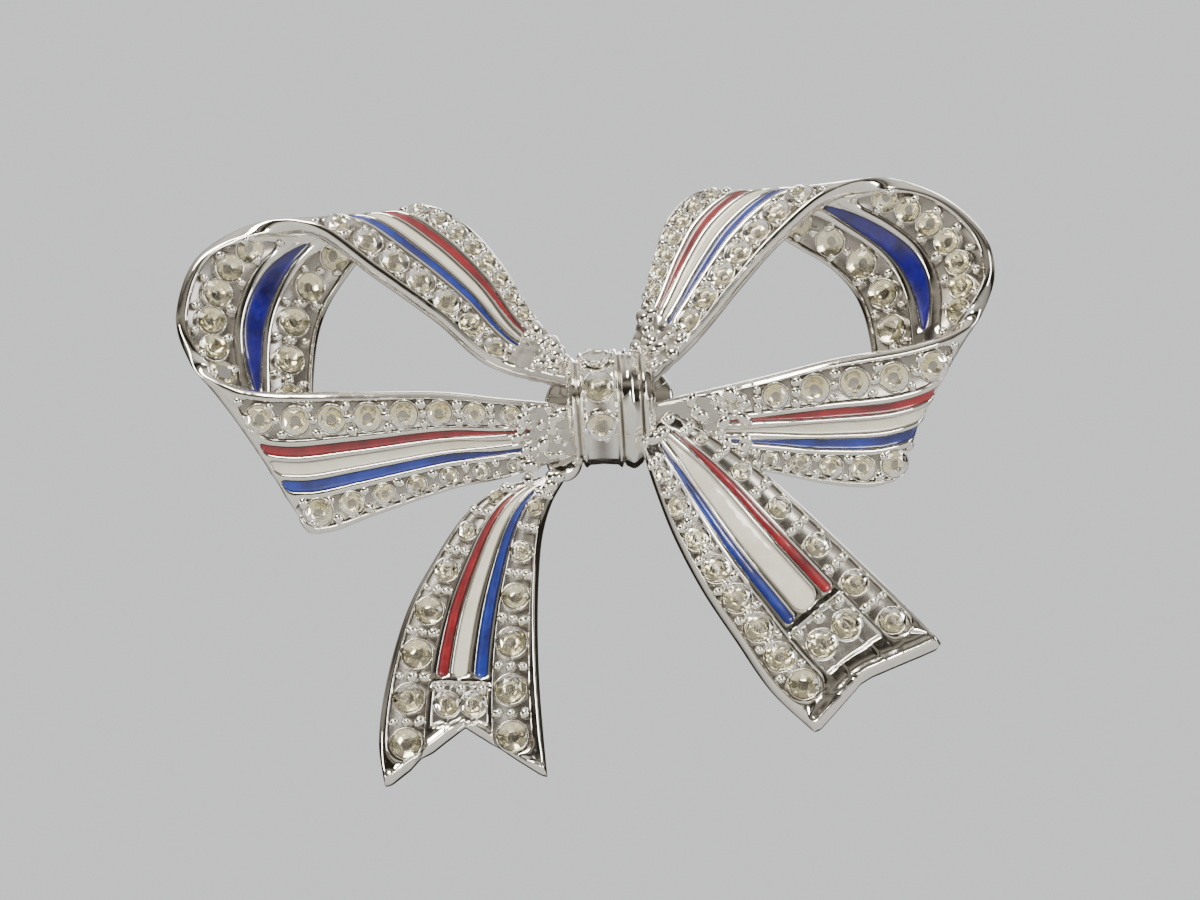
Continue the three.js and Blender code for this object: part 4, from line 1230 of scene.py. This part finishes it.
def hinge_bracket(x, behind):
    """A plate with two round-topped cheeks for the rivet."""
    cheek_outer = min(half_height("hinge_bracket"), CHEEK_OUTER)
    sketch = Sketch()
    add_plate(sketch, x)
    foot = PLATE_LIFT + 0.1 - behind
    outline = [(-CHEEK_RADIUS, foot), (CHEEK_RADIUS, foot), *arc((0, 0), CHEEK_RADIUS, 0, 180, 25)]
    for sign in (1, -1):
        inner, outer = sorted((sign * (cheek_outer - CHEEK_THICKNESS), sign * cheek_outer))
        points, faces = extruded(outline, inner, outer, lambda a, b, h: (x + a, behind + b, h))
        sketch.add(*bevelled(points, faces, 0.08))
    sketch.piece("hinge_bracket_stamped", [STEEL], "pin_steel", ["hinge_bracket"])


def hinge_rivet(x, behind):
    """A shank with a domed head at each end; its lower half mirrors its upper half."""
    half = half_height("hinge_rivet")
    upper = [(RIVET_SHANK, half - RIVET_DOME - 0.01)]
    for degrees in (90, 80, 60, 40, 20, 0):
        turn = math.radians(degrees)
        upper.append((RIVET_HEAD * math.sin(turn), half - RIVET_DOME * (1 - math.cos(turn))))
    profile = [(radius, -height) for radius, height in reversed(upper)] + upper
    sketch = Sketch()
    sketch.add(*lathe(profile, 48, (x, behind, 0), (0, 0, 1)))
    sketch.piece("hinge_rivet_turned", [STEEL], "pin_steel", ["hinge_rivet"])


def pin_stem(x, behind):
    """The wire with its eye round the rivet and a ground point."""
    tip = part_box("pin_stem")[1].x / MM - x
    half = half_height("pin_stem")
    low, high = KNUCKLE_HOLE, KNUCKLE
    upper = [(high, half - KNUCKLE_EDGE), (high - KNUCKLE_EDGE, half)]
    upper += [(low + KNUCKLE_EDGE, half), (low, half - KNUCKLE_EDGE)]
    eye = [(radius, -height) for radius, height in reversed(upper)] + upper
    sketch = Sketch()
    sketch.add(*lathe_ring(eye, 56, (x, behind, 0), (0, 0, 1)))
    wire = [(WIRE_RADIUS, WIRE_START), *[(radius, tip * share) for radius, share in WIRE_TAPER]]
    sketch.add(*lathe(wire, 32, (x, behind, 0), (1, 0, 0)))
    sketch.piece("pin_stem_wire", [STEEL], "pin_steel", ["pin_stem"], body="pin")


def c_ring(outer, inner, mouth):
    """The outline of a ring with a gap towards +a."""
    out_angle = math.degrees(math.asin(mouth / 2 / outer))
    in_angle = math.degrees(math.asin(mouth / 2 / inner))
    outside = arc((0, 0), outer, out_angle, 360 - out_angle, 49)
    return outside + arc((0, 0), inner, 360 - in_angle, in_angle, 49)


def add_ring(sketch, outline, behind, start, end, bevel):
    """A ring's outline as quads between its two arcs, extruded along the pin."""
    count = len(outline) // 2
    points, faces = [], []
    for x in (start, end):
        points += [(x, behind + a, b) for a, b in outline]
    total = len(outline)
    for i in range(total):
        j = (i + 1) % total
        faces.append([i, j, j + total, i + total])
    for i in range(count - 1):
        a, b, c, d = i, i + 1, total - 2 - i, total - 1 - i
        faces.append([a, b, c, d][::-1])
        faces.append([total + a, total + b, total + c, total + d])
    sketch.add(*bevelled(np.array(points), faces, bevel, 2))


def catch_body(x, behind):
    """A plate, a post that widens at its foot, and the open ring that the sleeve turns in."""
    sketch = Sketch()
    add_plate(sketch, x)
    half = RING_LENGTH / 2
    top = behind - RING_INNER - POST_SUNK - POST_FOOT
    outline = [(-0.95, 0.0), (0.95, 0.0), (0.72, 0.4), (0.72, top), (-0.72, top), (-0.72, 0.4)]
    points, faces = extruded(outline, -half, half, lambda a, b, h: (x + h, POST_FOOT + b, a))
    sketch.add(*bevelled(points, faces, 0.08))
    ring = c_ring(RING_OUTER, RING_INNER, RING_MOUTH)
    add_ring(sketch, ring, behind, x - half, x + half, 0.08)
    sketch.piece("catch_body_stamped", [STEEL], "pin_steel", ["catch_body"])


def catch_lock(x, behind):
    """The sleeve that turns in the catch: a slit tube, two flanges and a thumb tab."""
    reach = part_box("catch_lock")[0].z / MM + TAB_HALF_WIDTH
    half = RING_LENGTH / 2 + 0.04
    near, far = x - half - FLANGE_THICKNESS, x + half + FLANGE_THICKNESS + TAB_THICKNESS
    sketch = Sketch()
    sleeve = c_ring(SLEEVE_OUTER, SLEEVE_INNER, SLEEVE_MOUTH)
    flange = c_ring(FLANGE_OUTER, FLANGE_INNER, SLEEVE_MOUTH)
    add_ring(sketch, sleeve, behind, near, far, 0.04)
    add_ring(sketch, flange, behind, near, x - half, 0.06)
    add_ring(sketch, flange, behind, x + half, far, 0.06)
    side = TAB_HALF_WIDTH
    outline = [(side, -0.8), (-side, -0.8), (-side, reach), *arc((0, reach), side, 180, 360, 15)]
    start = far - TAB_THICKNESS
    points, faces = extruded(outline, start, far, lambda a, b, h: (h, behind + a, b))
    sketch.add(*bevelled(points, faces, 0.07))
    sketch.piece("catch_lock_turned", [STEEL], "pin_steel", ["catch_lock"], body="lock")


def add_pad(sketch, x):
    """The flat cast pad that fills the space between a plate and the loop above it."""
    half, length = PLATE_WIDTH / 2 + 0.15, PLATE_LENGTH / 2 + 0.15
    outline = [(half, 0.0), (half, 0.6), (0.5, 3.5), (-half, 3.2), (-half, 0.0)]
    points, faces = extruded(outline, x - length, x + length, lambda a, b, h: (h, -b, a))
    sketch.add(*bevelled(points, faces, 0.16, 4))


def build_pin():
    hinge, catch = pin_joint("pin_hinge"), pin_joint("lock_turn")
    for build in (hinge_bracket, hinge_rivet, pin_stem):
        build(hinge[0], hinge[1])
    for build in (catch_body, catch_lock):
        build(catch[0], catch[1])
    for name, x in (("left_loop_pad", hinge[0]), ("right_loop_pad", catch[0])):
        sketch = Sketch()
        add_pad(sketch, x)
        sketch.piece(name, [SILVER], "silver_plate")


# ---- Stage ----
def build_camera():
    elevation, roll = math.radians(CAMERA_ELEVATION), math.radians(CAMERA_ROLL)
    back = Vector((0, -math.cos(elevation), math.sin(elevation)))
    level, up = Vector((1, 0, 0)), Vector((0, math.sin(elevation), math.cos(elevation)))
    right = level * math.cos(roll) - up * math.sin(roll)
    top = level * math.sin(roll) + up * math.cos(roll)
    camera = bpy.data.objects.new("camera", bpy.data.cameras.new("camera"))
    camera.data.lens = LENS
    camera.data.sensor_width = 36
    camera.data.clip_start, camera.data.clip_end = 0.005, 5
    place = Matrix((right, top, back)).transposed().to_4x4()
    place.translation = (Vector(CAMERA_AIM) + back * CAMERA_DISTANCE) * MM
    camera.matrix_world = place
    bpy.context.scene.collection.objects.link(camera)
    bpy.context.scene.camera = camera


def area_light(name, place, size, power, color):
    """A soft light at a place in millimetres that faces the brooch."""
    data = bpy.data.lights.new(name, "AREA")
    data.shape = "RECTANGLE"
    data.size, data.size_y = size[0] * MM, size[1] * MM
    data.energy = power
    data.color = color
    light = bpy.data.objects.new(name, data)
    light.location = Vector(place) * MM
    light.rotation_euler = (Vector((0, 0, -3)) * MM - light.location).to_track_quat("-Z", "Y").to_euler()
    light.visible_camera = False
    bpy.context.scene.collection.objects.link(light)


def build_lights():
    for name, place, size, power, color in LIGHTS:
        area_light(name, place, size, power, color)


def build_world():
    """A pale room to the eye; reflections see soft light above and shade at the sides."""
    world = bpy.data.worlds.new("studio")
    bpy.context.scene.world = world
    world.use_nodes = True
    tree = world.node_tree
    background = tree.nodes["Background"]
    direction = add_node(tree, "ShaderNodeTexCoord").outputs["Generated"]
    split = add_node(tree, "ShaderNodeSeparateXYZ")
    tree.links.new(direction, split.inputs["Vector"])
    height = add_node(tree, "ShaderNodeMapRange")
    height.inputs["From Min"].default_value = -1.0
    height.inputs["From Max"].default_value = 1.0
    tree.links.new(split.outputs["Z"], height.inputs["Value"])
    room = ramp(tree, height.outputs["Result"], ROOM)
    path = add_node(tree, "ShaderNodeLightPath").outputs["Is Camera Ray"]
    tree.links.new(mix_color(tree, path, room, BACKDROP), background.inputs["Color"])
    background.inputs["Strength"].default_value = 1.0


def build_floor():
    mesh = bpy.data.meshes.new("floor")
    sides = 64
    circle = np.stack([np.cos(turns(sides)), np.sin(turns(sides)), np.zeros(sides)], 1)
    points = np.vstack([circle * radius + (0, 0, FLOOR_Z) for radius in FLOOR_RADII]) * MM
    faces = ring_faces(2, sides) + [list(range(sides))]
    mesh.from_pydata(points.tolist(), [], faces)
    material, tree, shader = new_material("floor_paper")
    tone = ramp(tree, noise(tree, 60, 4.0), [(0.3, (0.5, 0.505, 0.51)), (0.7, (0.53, 0.535, 0.54))])
    tree.links.new(tone, shader.inputs["Base Color"])
    shader.inputs["Roughness"].default_value = 0.85
    mesh.materials.append(material)
    floor = bpy.data.objects.new("floor", mesh)
    bpy.context.scene.collection.objects.link(floor)


# ---- Assembly ----
build_camera()
build_world()
build_lights()
build_floor()
draws = random.Random(SEED)
build_loop("left_loop", LEFT_LOOP, -1, LEFT_END_SPAN, LEFT_LOWER_SPAN, LEFT_STONES, draws)
build_loop("right_loop", RIGHT_LOOP, 1, RIGHT_END_SPAN, RIGHT_LOWER_SPAN, RIGHT_STONES, draws)
left = (LEFT_TAIL_CELLS, LEFT_SPANS, LEFT_COLORS, LEFT_TAIL_STONES, LEFT_NOTCH)
right = (RIGHT_TAIL_CELLS, RIGHT_SPANS, RIGHT_COLORS, RIGHT_TAIL_STONES, RIGHT_NOTCH)
build_tail("left_tail", LEFT_TAIL, *left, draws)
build_tail("right_tail", RIGHT_TAIL, *right, draws)
build_knot(draws)
build_pin()
